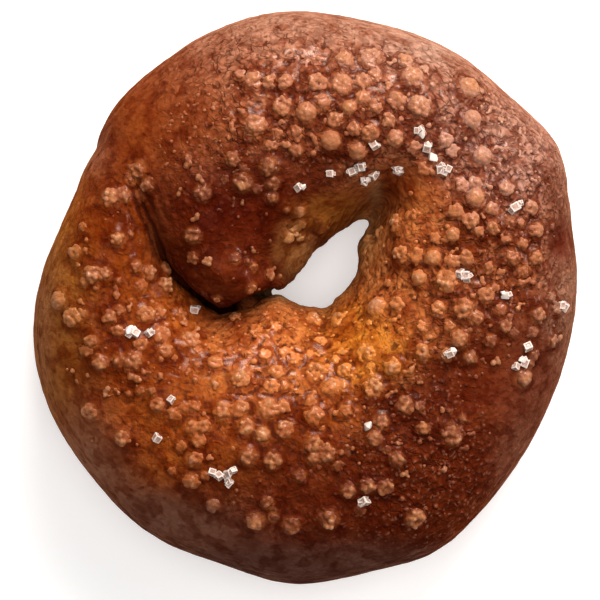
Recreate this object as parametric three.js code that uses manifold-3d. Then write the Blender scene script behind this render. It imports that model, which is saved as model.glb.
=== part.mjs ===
// A salt bagel, hand rolled: one rope of dough bent into a ring, its two ends lapped side by side, baked
// flat on its base and strewn with coarse salt. Most of the salt has sunk under the glaze and stands up as
// round lumps, and some lies bare as small cubes. The bagel is one solid, in millimetres, +Z up, resting
// on z = 0.

import * as THREE from "three";
import { mergeVertices } from "three/addons/utils/BufferGeometryUtils.js";
import Module from "manifold-3d";

// Driving dimensions of the bagel.
const OUTLINE_RADIUS = 54.6; // least radius of the outer outline, seen from above, before it swells
const TOP_HEIGHT = 38.0; // crest of the dough above the table
const WIDEST_HEIGHT = 16.5; // height at which the dough is widest
const BASE_SINK = 2.6; // how far the round underside would reach below the table before it is baked flat
const TOP_ROUNDNESS = 2.12; // exponent of the upper half of the dough's section, 2 being an ellipse
const BASE_ROUNDNESS = 2.6; // exponent of the lower half, squarer because it sat on the tray

// Slow swelling of the crown, and the heights over which it and the creases grow from nothing to their
// whole depth.
const SWELL_HEIGHT = 0.32;
const SWELL_WAVES = 5;
const SWELL_LENGTH = 34;
const SWELL_SHRINK = 0.78; // each wave's length and height, as a share of the one before
const CROWN_FROM = 14;
const CROWN_FULL = 32;
const GOLDEN_ANGLE = 2.399963; // radians

// Resolution of the faceted solid.
const RING_STEP = 3.5; // distance between two rings along the middle of the rope
const SECTION_SIDES = 24;
const END_RINGS = 5;

// Where the outer outline swells or is flattened: turn in degrees from +X, amount in millimetres, reach in
// degrees.
const OUTLINE_SWELLS = [
  { turn: 31, by: 3.4, reach: 11 },
  { turn: 57, by: 2.4, reach: 20 },
  { turn: 97, by: 2.5, reach: 20 },
  { turn: 157, by: -4.1, reach: 20 },
  { turn: 205, by: 1.4, reach: 24 },
  { turn: 238, by: 1.9, reach: 16 },
  { turn: 268, by: 2.8, reach: 13 },
  { turn: 296, by: 2.5, reach: 14 },
  { turn: 338, by: -1.5, reach: 24 },
];

const degrees = THREE.MathUtils.degToRad;

function turnBetween(a, b) {
  return ((((a - b) % 360) + 540) % 360) - 180;
}

// The point at a turn in degrees, so far inside the outer outline.
function outlineAt(turn, inset) {
  let radius = OUTLINE_RADIUS - inset;
  for (const { turn: middle, by, reach } of OUTLINE_SWELLS)
    radius += by * Math.exp(-((turnBetween(turn, middle) / reach) ** 2));
  return [radius * Math.cos(degrees(turn)), radius * Math.sin(degrees(turn))];
}

// The rope's ribs, from the end that lies outside, on the left, once round to the end that is tucked in
// beside the hole. Each gives the point on the hole's side, the turn of the outer side, how far that stays
// inside the outline where one end lies behind the other, and how much the rib rises above the mean crest.
const RIBS = [
  { hole: [-19.0, 35.6], turn: 118, inset: 6.5, rise: -9.0 },
  { hole: [-23.0, 29.6], turn: 128, inset: 3.7, rise: -7.0 },
  { hole: [-25.2, 24.4], turn: 139, inset: 1.5, rise: -4.4 },
  { hole: [-26.6, 19.6], turn: 150, inset: 0, rise: -2.4 },
  { hole: [-27.6, 14.8], turn: 162, inset: 0, rise: -1.4 },
  { hole: [-25.9, 7.2], turn: 175, inset: 0, rise: -0.6 },
  { hole: [-21.4, 0.8], turn: 195, inset: 0, rise: 0.0 },
  { hole: [-16.4, -3.4], turn: 216, inset: 0, rise: 0.6 },
  { hole: [-11.4, -2.2], turn: 234, inset: 0, rise: 1.1 },
  { hole: [-6.7, -0.1], turn: 251, inset: 0, rise: 1.0 },
  { hole: [-1.2, -1.6], turn: 269, inset: 0, rise: 0.5 },
  { hole: [3.6, -2.4], turn: 285, inset: 0, rise: 0.2 },
  { hole: [6.4, -0.4], turn: 307, inset: 0, rise: -0.8 },
  { hole: [8.9, 2.5], turn: 330, inset: 0, rise: -1.4 },
  { hole: [10.3, 6.4], turn: 358, inset: 0, rise: -1.0 },
  { hole: [10.3, 10.0], turn: 384, inset: 0, rise: -0.3 },
  { hole: [12.8, 15.0], turn: 412, inset: 0, rise: 0.2 },
  { hole: [10.0, 15.1], turn: 427, inset: 0, rise: 0.9 },
  { hole: [5.6, 12.2], turn: 452, inset: 0, rise: 1.7 },
  { hole: [1.4, 8.5], turn: 478, inset: 0, rise: 1.6 },
  { hole: [-2.0, 4.2], turn: 503, inset: 0, rise: 0.8 },
  { hole: [-3.3, 2.8], turn: 513, inset: 7, rise: 0.2 },
  { hole: [-4.7, 2.1], turn: 522, inset: 17, rise: 0.0 },
  { hole: [-6.0, 1.5], turn: 535, inset: 26.5, rise: -0.2 },
  { hole: [-6.7, 0.6], turn: 546, inset: 34, rise: -0.5 },
  { hole: [-6.6, -1.2], turn: 557, inset: 38.5, rise: -0.8 },
];
const FIRST_END_LENGTH = 13; // length of each rounded end, along the middle of the rope
const LAST_END_LENGTH = 11;

// Creases where the dough is pinched beside the hole: the line of each, its depth at the hole and its half
// width.
const CREASES = [
  { depth: 9, halfWidth: 2.6, line: [[12.6, 14.6], [15.6, 18.6], [16.4, 21.6], [19.2, 25], [22.4, 28.6]] },
  { depth: 4, halfWidth: 2.2, line: [[3.6, -2.0], [3.4, -6.0], [3.0, -10.5]] },
];

// Salt lumps on the crust, seen from above: x, y and radius of each.
const SALT_LUMPS = [
  [-0.1, 36, 2.1], [4.7, 30.5, 2.1], [10, 28.6, 1.9], [17.3, 31, 1.8], [32.3, 34.6, 2],
  [34.3, 27.4, 2], [31.7, 40.8, 2.4], [8.4, 36.8, 1.6], [22.2, 3.7, 1.7], [24.8, 7.6, 1.7],
  [-8.7, -27, 1.7], [33, 19.2, 1.9], [42.5, -15.9, 1.9], [-1.5, 16.8, 1.3], [-3.6, 11.7, 1.3],
  [-48.3, -0.8, 2], [28.6, 12.2, 1.5], [14.2, -2.3, 2.2], [-38.3, 19.3, 1.9], [-36, 19.8, 1.5],
  [-33, 25, 1.9], [-31, 22, 1.5], [-20.3, 20.3, 1.6], [-10.5, 42.3, 1.8], [-7.3, 42, 1.4],
  [-4.2, 41.8, 1.6], [-4.6, 37, 1.9], [2, 42, 2.1], [6.8, 41.5, 2.1], [3.2, 38, 1.7],
  [10.9, 42, 1.6], [10.8, 38.6, 1.6], [13.4, 37.2, 1.6], [12.4, 46.8, 2.1], [7.3, 46, 1.9],
  [16, 34.3, 1.5], [5.5, 34.5, 1.5], [9.2, 32.7, 1.4], [12.4, 32, 1.7], [-10.2, 33.2, 2.2],
  [-2, 28.6, 1.3], [-7.3, 25.5, 1.8], [-6.6, 22.3, 1.5], [-12.4, 22.2, 1.8], [-14.5, 27, 1.4],
  [-6.8, 19.5, 1.3], [22, 37, 2.3], [19.3, 46, 1.7], [20.8, 43, 2], [17.6, 38.4, 1.8],
  [27.2, 30.6, 1.6], [33, 22.2, 1.4], [39, 21, 1.5], [44, 17.5, 1.5], [36.2, 17.2, 1.3],
  [29.2, 16.9, 1.4], [-45.2, 8.6, 1.4], [-37, 11.2, 1.5], [-41.8, 4.3, 1.8], [-45.8, -4.2, 1.9],
  [-38.5, -4, 1.5], [-31.2, 4.7, 1.5], [-28.5, 5.2, 1.5], [-28.3, 2, 1.6], [-31.5, -3.5, 1.7],
  [-37, -6.8, 1.3], [-42, -8.8, 1.4], [-40.2, -12.8, 1.6], [-36.7, -12.5, 1.4], [-33.8, -12.6, 1.8],
  [-32.5, -9.3, 1.4], [-28.6, -7.5, 1.7], [-27.6, -10.8, 1.5], [-23, -8.8, 2], [-18, -13, 1.4],
  [-22.1, 12, 1.6], [14.9, 12.5, 1.3], [18, 14.4, 1.8], [1.2, -4.8, 1.8], [2.7, -9, 1.3],
  [6.7, -5, 2.1], [2, -14.9, 1.9], [-6, -14.8, 1.5], [11.8, -11.1, 1.9], [7.5, -14.4, 1.4],
  [16.9, -13.9, 1.8], [32, 14.9, 1.7], [36.4, 13.5, 1.4], [18.8, 8.3, 1.9], [28.4, 7, 1.4],
  [31.3, 7.7, 1.5], [27.4, 3.1, 2.1], [40.3, 7.7, 1.5], [44.8, 7.7, 1.5], [45, 13, 1.5],
  [35, 0.3, 1.6], [18, -1.6, 1.7], [25.8, -2.4, 1.5], [31, -2.4, 2], [33.2, -4.2, 1.4],
  [45.3, -3.5, 1.6], [30, -8.2, 1.9], [38.8, -5.8, 1.4], [22.8, -10.8, 1.6], [27.4, -11.3, 1.5],
  [32.1, -12, 1.4], [-42.3, -22.5, 1.8], [-36, -27.6, 1.6], [-29, -21.3, 1.4], [-22.3, -25.6, 1.4],
  [-20, -25.4, 1.4], [-21, -28, 1.4], [-21.9, -31.6, 1.6], [-22.6, -36, 1.6], [-16.4, -22.5, 1.7],
  [-13, -22, 1.6], [-12, -25.7, 1.7], [-7.6, -22, 2.1], [-4.7, -21.7, 1.5], [-4.3, -26.1, 1.8],
  [-13, -16, 1.7], [-11.3, -31.3, 1.7], [-6.6, -32, 1.7], [-7, -17.7, 1.5], [4.7, -17.9, 1.8],
  [1.4, -23.4, 1.9], [1.3, -28.8, 1.8], [3.9, -30.6, 1.8], [1.4, -31.6, 1.4], [13.2, -18, 2],
  [14.6, -24.6, 1.6], [13.3, -27.7, 1.5], [8.2, -38, 1.5], [12, -37, 1.6], [15.3, -37.3, 1.5],
  [17.7, -31.8, 1.5], [4.3, -43.6, 2], [-10, -44, 1.8], [-7.7, -40.3, 1.3], [-3, -44.8, 1.7],
  [-18.3, -40.8, 1.4], [19.3, -21.3, 1.9], [22.8, -25.9, 1.4], [28.3, -27.3, 2.1], [21.2, -43.4, 2],
];
const LUMP_RISE = 0.1; // share of a lump's radius by which its middle stands above the crust
const LUMP_FLATNESS = 0.72;

// Bare salt crystals: where each group lies, how many there are and how far they are scattered.
const CRYSTAL_GROUPS = [
  { x: 10, y: 25, count: 4, spread: 1.3 },
  { x: 11.2, y: 22.3, count: 2, spread: 0.7 },
  { x: 13.1, y: 23.9, count: 1, spread: 0 },
  { x: 4.6, y: 24.1, count: 1, spread: 0 },
  { x: -1.6, y: 21.4, count: 1, spread: 0 },
  { x: 13.2, y: 29.6, count: 1, spread: 0 },
  { x: 21.7, y: 32, count: 3, spread: 0.9 },
  { x: 23.3, y: 29.6, count: 2, spread: 0.7 },
  { x: 24.7, y: 27.2, count: 1, spread: 0 },
  { x: 27, y: 24.2, count: 4, spread: 1.3 },
  { x: 18.2, y: 24.9, count: 2, spread: 0.6 },
  { x: 41.1, y: 17.6, count: 3, spread: 1 },
  { x: 30.6, y: 3.8, count: 3, spread: 1 },
  { x: 28, y: -11.2, count: 1, spread: 0 },
  { x: 39, y: 0.2, count: 1, spread: 0 },
  { x: 43.4, y: -9.9, count: 1, spread: 0 },
  { x: 42.7, y: -12.5, count: 2, spread: 0.6 },
  { x: 41.1, y: -13.7, count: 1, spread: 0 },
  { x: 50.4, y: -1.5, count: 2, spread: 0.7 },
  { x: -34.4, y: -7.3, count: 3, spread: 0.9 },
  { x: -31.3, y: -7.2, count: 2, spread: 0.6 },
  { x: -15.3, y: -35, count: 6, spread: 1.9 },
  { x: -18.5, y: -34.3, count: 1, spread: 0 },
  { x: -26.4, y: -20.2, count: 1, spread: 0 },
  { x: -29.2, y: -27.7, count: 1, spread: 0 },
  { x: 11.1, y: -40.5, count: 2, spread: 0.7 },
  { x: -22.2, y: -2.7, count: 1, spread: 0 },
  { x: 11.9, y: -25.4, count: 1, spread: 0 },
];
const CRYSTAL_SIDE = 1.5;
const CRYSTAL_SPREAD = 0.2; // share by which a crystal's side varies
const CRYSTAL_RISE = 0.25; // share of its side by which its middle stands above the crust
const RANDOM_SEED = 20417;
const LOWEST_SALT = 21.0; // salt below this height would be in the hole or under the rim
const STEEPEST_SALT = 0.34; // least upward share of the crust's normal where salt stays on

// Repeatable random numbers from 0 to 1.
function randomFrom(seed) {
  const MULTIPLIER = 16807;
  const MODULUS = 2147483647;
  let state = seed;
  return () => {
    state = (state * MULTIPLIER) % MODULUS;
    return state / MODULUS;
  };
}

const smooth = (low, high, value) => THREE.MathUtils.smoothstep(value, low, high);
const power = (value, exponent) => Math.sign(value) * Math.abs(value) ** exponent;

// Slow swelling of the dough's crown: a few long waves in directions a golden angle apart, each shorter
// and lower.
function swell(x, y, z) {
  const SHIFT = 1.7;
  const UPWARD = 0.6;
  let sum = 0;
  for (let i = 0; i < SWELL_WAVES; i++) {
    const size = SWELL_SHRINK ** i;
    const across = x * Math.cos(GOLDEN_ANGLE * i) + y * Math.sin(GOLDEN_ANGLE * i);
    const along = across + UPWARD * z * Math.cos(2 * i);
    sum += size * Math.sin((2 * Math.PI * along) / (SWELL_LENGTH * size) + SHIFT * i);
  }
  return SWELL_HEIGHT * sum;
}

// Distance from a point to a line of points, and how far along the line the nearest place is, from 0 to 1.
function nearestOn(line, x, y) {
  let best = { distance: Infinity, along: 0 };
  for (let i = 0; i + 1 < line.length; i++) {
    const [ax, ay] = line[i];
    const [bx, by] = line[i + 1];
    const length2 = (bx - ax) ** 2 + (by - ay) ** 2;
    const t = THREE.MathUtils.clamp(((x - ax) * (bx - ax) + (y - ay) * (by - ay)) / length2, 0, 1);
    const distance = Math.hypot(x - ax - t * (bx - ax), y - ay - t * (by - ay));
    if (distance < best.distance) best = { distance, along: (i + t) / (line.length - 1) };
  }
  return best;
}

// How far the creases lower the crust at a point: deep and wide at the hole, narrowing and fading along
// their line.
function creaseDepth(x, y) {
  const MOUTH = 1.6;
  const FADE = 1.3;
  let deepest = 0;
  for (const crease of CREASES) {
    const { distance, along } = nearestOn(crease.line, x, y);
    const reach = crease.halfWidth * (MOUTH + (1 - MOUTH) * along);
    const depth = crease.depth * (1 - along) ** FADE * Math.exp(-((distance / reach) ** 2));
    deepest = Math.max(deepest, depth);
  }
  return deepest;
}

// The curves through all the ribs: the hole's side with the rise, and the outer side's turn with its
// inset.
const holeSide = new THREE.CatmullRomCurve3(
  RIBS.map((rib) => new THREE.Vector3(...rib.hole, rib.rise)),
  false,
  "catmullrom",
);
const outerSide = new THREE.CatmullRomCurve3(
  RIBS.map((rib) => new THREE.Vector3(rib.turn, rib.inset, 0)),
  false,
  "catmullrom",
);

// The rope's two sides and its crest at a share of the way through the ribs.
function ribAt(share) {
  const hole = holeSide.getPoint(share);
  const outer = outerSide.getPoint(share);
  return { hole: [hole.x, hole.y], outer: outlineAt(outer.x, outer.y), top: TOP_HEIGHT + hole.z };
}

// Lengths along the rope's middle at even shares of the way through the ribs.
const LENGTH_STEPS = 720;
const lengths = [0];
for (let i = 1; i <= LENGTH_STEPS; i++) {
  const [from, to] = [ribAt((i - 1) / LENGTH_STEPS), ribAt(i / LENGTH_STEPS)];
  const stepX = (to.hole[0] + to.outer[0] - from.hole[0] - from.outer[0]) / 2;
  const stepY = (to.hole[1] + to.outer[1] - from.hole[1] - from.outer[1]) / 2;
  lengths.push(lengths[i - 1] + Math.hypot(stepX, stepY));
}
const ROPE_LENGTH = lengths[LENGTH_STEPS];

// The share of the way through the ribs at a length along the rope.
function shareAt(length) {
  const after = Math.max(1, lengths.findIndex((reached) => reached >= length));
  const step = (length - lengths[after - 1]) / (lengths[after] - lengths[after - 1]);
  return (after - 1 + step) / LENGTH_STEPS;
}

// How large the section is at a length along the rope: whole, and rounding to nothing at both ends.
function fullness(length) {
  const rounded = (share) => Math.sqrt(1 - (1 - THREE.MathUtils.clamp(share, 0, 1)) ** 2);
  return rounded(length / FIRST_END_LENGTH) * rounded((ROPE_LENGTH - length) / LAST_END_LENGTH);
}

// The point of the dough's skin at a length along the rope and a turn round its section.
function skinPoint(length, turn) {
  const { hole, outer, top } = ribAt(shareAt(length));
  const full = fullness(length);
  const up = Math.sin(turn);
  const roundness = 2 / (up > 0 ? TOP_ROUNDNESS : BASE_ROUNDNESS);
  const share = 0.5 + 0.5 * full * power(Math.cos(turn), roundness);
  const x = hole[0] + share * (outer[0] - hole[0]);
  const y = hole[1] + share * (outer[1] - hole[1]);
  const halfHeight = up > 0 ? top - WIDEST_HEIGHT : WIDEST_HEIGHT + BASE_SINK;
  const z = WIDEST_HEIGHT + halfHeight * full * power(up, roundness);
  const crown = smooth(CROWN_FROM, CROWN_FULL, z) * full;
  return new THREE.Vector3(x, y, z + crown * (swell(x, y, z) - creaseDepth(x, y)));
}

// Lengths of the rings along a stretch of the rope, closer together in its rounded ends.
function ringLengths(from, to) {
  const startEnd = from === 0 ? FIRST_END_LENGTH : 0;
  const stopEnd = to === ROPE_LENGTH ? LAST_END_LENGTH : 0;
  const cap = [];
  for (let i = 1; i <= END_RINGS; i++) cap.push(1 - Math.cos((Math.PI / 2) * (i / (END_RINGS + 1))));
  const middle = to - stopEnd - (from + startEnd);
  const steps = Math.round(middle / RING_STEP);
  const rings = startEnd ? cap.map((share) => from + startEnd * share) : [];
  for (let i = 0; i <= steps; i++) rings.push(from + startEnd + (middle * i) / steps);
  if (stopEnd) rings.push(...cap.reverse().map((share) => to - stopEnd * share));
  return rings;
}

// A stretch of the rope as a sphere drawn out along it: its poles are the rounded end and the flat cut.
function ropeStretch(from, to) {
  const rings = ringLengths(from, to);
  const ball = new THREE.SphereGeometry(1, SECTION_SIDES, rings.length + 1);
  const position = ball.getAttribute("position");
  const columns = SECTION_SIDES + 1;
  const poleAt = (length) => {
    const top = skinPoint(length, Math.PI / 2);
    const base = skinPoint(length, -Math.PI / 2);
    return top.add(base).multiplyScalar(0.5);
  };
  for (let row = 0; row < rings.length + 2; row++)
    for (let column = 0; column < columns; column++) {
      const turn = (2 * Math.PI * (column % SECTION_SIDES)) / SECTION_SIDES;
      let point = null;
      if (row === 0) point = poleAt(from);
      else if (row === rings.length + 1) point = poleAt(to);
      else point = skinPoint(rings[row - 1], turn);
      position.setXYZ(row * columns + column, point.x, point.y, point.z);
    }
  return ball;
}

const wasm = await Module();
wasm.setup();

// A closed geometry as a solid that can be joined and cut.
function solidFrom(geometry) {
  const bare = geometry.clone();
  bare.deleteAttribute("normal");
  bare.deleteAttribute("uv");
  const merged = mergeVertices(bare, 1e-4);
  const solid = new wasm.Manifold(
    new wasm.Mesh({
      numProp: 3,
      vertProperties: new Float32Array(merged.getAttribute("position").array),
      triVerts: new Uint32Array(merged.index.array),
    }),
  );
  if (solid.volume() > 0) return solid;
  const turned = new Uint32Array(merged.index.array);
  for (let i = 0; i < turned.length; i += 3) [turned[i + 1], turned[i + 2]] = [turned[i + 2], turned[i + 1]];
  return new wasm.Manifold(
    new wasm.Mesh({
      numProp: 3,
      vertProperties: new Float32Array(merged.getAttribute("position").array),
      triVerts: turned,
    }),
  );
}

// A solid as a geometry that three.js can draw.
function geometryFrom(solid) {
  const mesh = solid.getMesh();
  const points = new Float32Array(mesh.numVert * 3);
  for (let i = 0; i < mesh.numVert; i++)
    points.set(mesh.vertProperties.subarray(i * mesh.numProp, i * mesh.numProp + 3), i * 3);
  const geometry = new THREE.BufferGeometry();
  geometry.setAttribute("position", new THREE.BufferAttribute(points, 3));
  geometry.setIndex(new THREE.BufferAttribute(new Uint32Array(mesh.triVerts), 1));
  geometry.computeVertexNormals();
  return geometry;
}

// The outer skin of a solid: sealed hollows are filled and loose scraps dropped.
function wholeOf(solid) {
  return solid.decompose().sort((a, b) => b.volume() - a.volume())[0];
}

// The dough: both stretches of the rope joined, with the underside cut flat where it sat on the tray.
function doughSolid() {
  const middle = ROPE_LENGTH / 2;
  const joined = solidFrom(ropeStretch(0, middle)).add(solidFrom(ropeStretch(middle, ROPE_LENGTH)));
  const SLAB_SIDE = 3 * OUTLINE_RADIUS;
  const SLAB_DEPTH = 20;
  const slab = new THREE.BoxGeometry(SLAB_SIDE, SLAB_SIDE, SLAB_DEPTH).translate(0, 0, -SLAB_DEPTH / 2);
  return wholeOf(joined.subtract(solidFrom(slab)));
}

// Finds the crust under a point seen from above: its height and its normal, or null over the hole and
// steep sides.
function crustFinder(geometry) {
  const mesh = new THREE.Mesh(geometry, new THREE.MeshBasicMaterial({ side: THREE.DoubleSide }));
  const ray = new THREE.Raycaster();
  const down = new THREE.Vector3(0, 0, -1);
  return (x, y) => {
    ray.set(new THREE.Vector3(x, y, 2 * TOP_HEIGHT), down);
    const [hit] = ray.intersectObject(mesh);
    if (!hit || hit.point.z < LOWEST_SALT || hit.face.normal.z < STEEPEST_SALT) return null;
    return { point: hit.point, normal: hit.face.normal.clone() };
  };
}

// The salt lumps, each on the crust under its place.
function saltLumps(crustUnder) {
  const placed = SALT_LUMPS.map(([x, y, radius]) => ({ radius, crust: crustUnder(x, y) }));
  return placed.filter((lump) => lump.crust);
}

// One lump of salt under the glaze: a flattened knob that sits half in the crust.
function lumpSolid(lump, random) {
  const ball = new THREE.IcosahedronGeometry(lump.radius, 0);
  ball.rotateX(Math.PI * random());
  ball.rotateZ(Math.PI * random());
  ball.scale(1, 1, LUMP_FLATNESS);
  const upright = new THREE.Quaternion().setFromUnitVectors(new THREE.Vector3(0, 0, 1), lump.crust.normal);
  ball.applyQuaternion(upright);
  const middle = lump.crust.point.clone().addScaledVector(lump.crust.normal, LUMP_RISE * lump.radius);
  ball.translate(middle.x, middle.y, middle.z);
  return solidFrom(ball);
}

// Bare crystals: small cubes, each turned its own way, resting in the glaze.
function crystalSolids(crustUnder) {
  const random = randomFrom(RANDOM_SEED + 1);
  const solids = [];
  for (const group of CRYSTAL_GROUPS)
    for (let i = 0; i < group.count; i++) {
      const turn = GOLDEN_ANGLE * i + 2 * Math.PI * random();
      const reach = group.spread * Math.sqrt((i + 0.5) / group.count);
      const side = CRYSTAL_SIDE * (1 + CRYSTAL_SPREAD * (2 * random() - 1));
      const tilt = [Math.PI * random(), Math.PI * random(), Math.PI * random()];
      const crust = crustUnder(group.x + reach * Math.cos(turn), group.y + reach * Math.sin(turn));
      if (!crust) continue;
      const cube = new THREE.BoxGeometry(side, side, side);
      cube.rotateX(tilt[0]).rotateY(tilt[1]).rotateZ(tilt[2]);
      const middle = crust.point.clone().addScaledVector(crust.normal, CRYSTAL_RISE * side);
      cube.translate(middle.x, middle.y, middle.z);
      solids.push(solidFrom(cube));
    }
  return solids;
}

// Stands the bagel with the middle of its box over the origin.
function centred(geometry) {
  geometry.computeBoundingBox();
  const middle = geometry.boundingBox.getCenter(new THREE.Vector3());
  return geometry.translate(-middle.x, -middle.y, -geometry.boundingBox.min.z);
}

function bagelGeometry() {
  const dough = doughSolid();
  const crustUnder = crustFinder(geometryFrom(dough));
  const random = randomFrom(RANDOM_SEED + 2);
  const salt = saltLumps(crustUnder).map((lump) => lumpSolid(lump, random));
  salt.push(...crystalSolids(crustUnder));
  let bagel = dough;
  for (const grain of salt) bagel = bagel.add(grain);
  return centred(geometryFrom(wholeOf(bagel)));
}

const crust = new THREE.MeshStandardMaterial({ color: 0x8a4a1e, roughness: 0.32, metalness: 0 });
const bagel = new THREE.Mesh(bagelGeometry(), crust);
bagel.name = "bagel";

const saltBagel = new THREE.Group();
saltBagel.add(bagel);

export default saltBagel;
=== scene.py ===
"""A salt bagel, dressed for the camera.

The crust, the salt lumps under its glaze and the bare crystals of salt are modelled round the packed
bagel, in the same frame. Shapes are worked out in millimetres, in the plan in which the dough's outline
is drawn, and become metres in the bagel's frame when a piece is settled there.
"""

import logging
import math
from dataclasses import dataclass
from enum import Enum, IntEnum

import bpy
import numpy as np
from mathutils import Euler, Matrix, Vector
from mathutils.bvhtree import BVHTree

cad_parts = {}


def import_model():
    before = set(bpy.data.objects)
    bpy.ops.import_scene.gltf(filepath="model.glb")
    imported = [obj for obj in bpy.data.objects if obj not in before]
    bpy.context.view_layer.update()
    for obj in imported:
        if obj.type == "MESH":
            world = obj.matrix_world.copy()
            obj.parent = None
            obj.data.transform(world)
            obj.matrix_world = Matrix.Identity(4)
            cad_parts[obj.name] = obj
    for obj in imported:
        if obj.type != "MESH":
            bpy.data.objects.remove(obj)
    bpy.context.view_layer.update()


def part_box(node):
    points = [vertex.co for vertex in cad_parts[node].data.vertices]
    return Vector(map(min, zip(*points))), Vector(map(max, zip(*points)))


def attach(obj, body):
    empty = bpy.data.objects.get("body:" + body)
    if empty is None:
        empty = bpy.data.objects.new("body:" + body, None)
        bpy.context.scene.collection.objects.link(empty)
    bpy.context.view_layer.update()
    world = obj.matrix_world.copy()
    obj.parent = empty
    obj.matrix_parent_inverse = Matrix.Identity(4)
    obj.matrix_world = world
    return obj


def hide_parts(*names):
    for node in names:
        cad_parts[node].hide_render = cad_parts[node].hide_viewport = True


LOG = logging.getLogger("bagel")
MM = 0.001
BODY = "root"
NODE = "bagel"
GOLDEN_ANGLE = 2.399963
RANDOM_SEED = 20417

Pair = tuple[float, float]
Triple = tuple[float, float, float]
Shape = tuple[np.ndarray, list[tuple[int, ...]]]
Object = bpy.types.Object
Material = bpy.types.Material


# Numbers and fields


class Seed(IntEnum):
    """Which noise or scatter of points each kind of relief takes."""

    BLISTERS = 11
    PEBBLES = 21
    WRINKLES = 31
    WARP = 40
    STREAKS = 51
    UNEVEN = 61
    RUFFLES = 71
    SHADES = 77
    GRANULES = 83
    WEAR = 90


@dataclass
class Draws:
    """Repeatable random numbers from 0 to 1, the same ones that strew the solid's salt."""

    state: int
    multiplier: int = 16807
    modulus: int = 2147483647

    def next(self) -> float:
        """The next number of the row."""
        self.state = (self.state * self.multiplier) % self.modulus
        return self.state / self.modulus

    def between(self, low: float, high: float) -> float:
        """The next number, spread evenly from low to high."""
        return low + (high - low) * self.next()


def smooth(low: float, high: float, value: np.ndarray) -> np.ndarray:
    """Rises softly from 0 at low to 1 at high."""
    share = np.clip((value - low) / (high - low), 0.0, 1.0)
    return share * share * (3.0 - 2.0 * share)


def power(value: np.ndarray, exponent: float) -> np.ndarray:
    """A power that keeps the sign of its base."""
    return np.sign(value) * np.abs(value) ** exponent


def hashed(cells: np.ndarray, seed: int) -> np.ndarray:
    """Even random numbers for the cells of a lattice.

    Args:
        cells: whole-number places, three to a row.
        seed: which set of numbers to give.

    Returns:
        One number from 0 to 1 for each row.
    """
    across, along, up = 73856093, 19349663, 83492791
    seed_step, stir, word, fraction = 2654435761, 0x45D9F3B, 0xFFFFFFFF, 0xFFFFFF
    mixed = cells[..., 0] * across ^ cells[..., 1] * along ^ cells[..., 2] * up
    mixed = (mixed ^ (seed * seed_step)) & word
    for _ in range(2):
        mixed = ((mixed ^ (mixed >> 16)) * stir) & word
    return ((mixed ^ (mixed >> 16)) & fraction) / float(fraction)


def cloud(points: np.ndarray, size: float, seed: int) -> np.ndarray:
    """Soft noise without a direction.

    Args:
        points: places, three to a row.
        size: the width of its blots.
        seed: which noise to give.

    Returns:
        A number from -1 to 1 for each place.
    """
    scaled = points / size
    base = np.floor(scaled).astype(np.int64)
    part = scaled - base
    fade = part**3 * (part * (part * 6.0 - 15.0) + 10.0)
    total = np.zeros(len(points))
    for corner in np.ndindex(2, 2, 2):
        offset = np.array(corner)
        weight = np.prod(np.where(offset == 1, fade, 1.0 - fade), axis=1)
        total += weight * hashed(base + offset, seed)
    return total * 2.0 - 1.0


def layered(points: np.ndarray, size: float, seed: int, layers: int = 3) -> np.ndarray:
    """Noise from about -1 to 1 in layers, each half as wide and half as high as the one before."""
    total = sum(cloud(points, size / 2**i, seed + i) / 2**i for i in range(layers))
    return total / (2.0 - 2.0 ** (1 - layers))


def pebbles(points: np.ndarray, size: float, seed: int) -> tuple[np.ndarray, np.ndarray]:
    """Distances to the nearest two of a loose scatter of points, as shares of its spacing.

    Args:
        points: places, three to a row.
        size: the spacing of the scatter.
        seed: which scatter to give.

    Returns:
        The distances to the nearest and to the second nearest point.
    """
    scaled = points / size
    base = np.floor(scaled).astype(np.int64)
    first = np.full(len(points), math.inf)
    second = np.full(len(points), math.inf)
    for corner in np.ndindex(3, 3, 3):
        cell = base + (np.array(corner) - 1)
        jitter = np.stack([hashed(cell, seed + i) for i in range(3)], axis=1)
        distance = np.linalg.norm(cell + jitter - scaled, axis=1)
        second = np.minimum(second, np.maximum(first, distance))
        first = np.minimum(first, distance)
    return first, second


def nearest_on(line: tuple[Pair, ...], places: np.ndarray) -> tuple[np.ndarray, np.ndarray, np.ndarray]:
    """Where plan places lie beside a line of points.

    Args:
        line: the line's points, as pairs.
        places: plan places, two to a row.

    Returns:
        The distance to the line, how far along it the nearest place is, from 0 to 1, and the side,
        which is positive on the left of the line's way.
    """
    distance = np.full(len(places), math.inf)
    along = np.zeros(len(places))
    side = np.zeros(len(places))
    points = np.array(line, float)
    for i in range(len(points) - 1):
        step = points[i + 1] - points[i]
        share = np.clip((places - points[i]) @ step / (step @ step), 0.0, 1.0)
        away = places - points[i] - share[:, None] * step
        length = np.linalg.norm(away, axis=1)
        closer = length < distance
        distance[closer] = length[closer]
        along[closer] = (i + share[closer]) / (len(points) - 1)
        side[closer] = np.sign(step[0] * away[closer, 1] - step[1] * away[closer, 0])
    return distance, along, side


# The dough's form


@dataclass(frozen=True)
class Swell:
    """A place where the outer outline swells or is flattened."""

    turn: float
    by: float
    reach: float


@dataclass(frozen=True)
class Rib:
    """A rib across the rope: its point on the hole's side, and where its outer side stands."""

    hole: Pair
    turn: float
    inset: float
    rise: float


@dataclass(frozen=True)
class Crease:
    """A pinch beside the hole, deepest at its first point."""

    depth: float
    half_width: float
    line: tuple[Pair, ...]


OUTLINE_SWELLS = (
    Swell(31, 3.4, 11),
    Swell(57, 2.4, 20),
    Swell(97, 2.5, 20),
    Swell(157, -4.1, 20),
    Swell(205, 1.4, 24),
    Swell(238, 1.9, 16),
    Swell(268, 2.8, 13),
    Swell(296, 2.5, 14),
    Swell(338, -1.5, 24),
)

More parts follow.
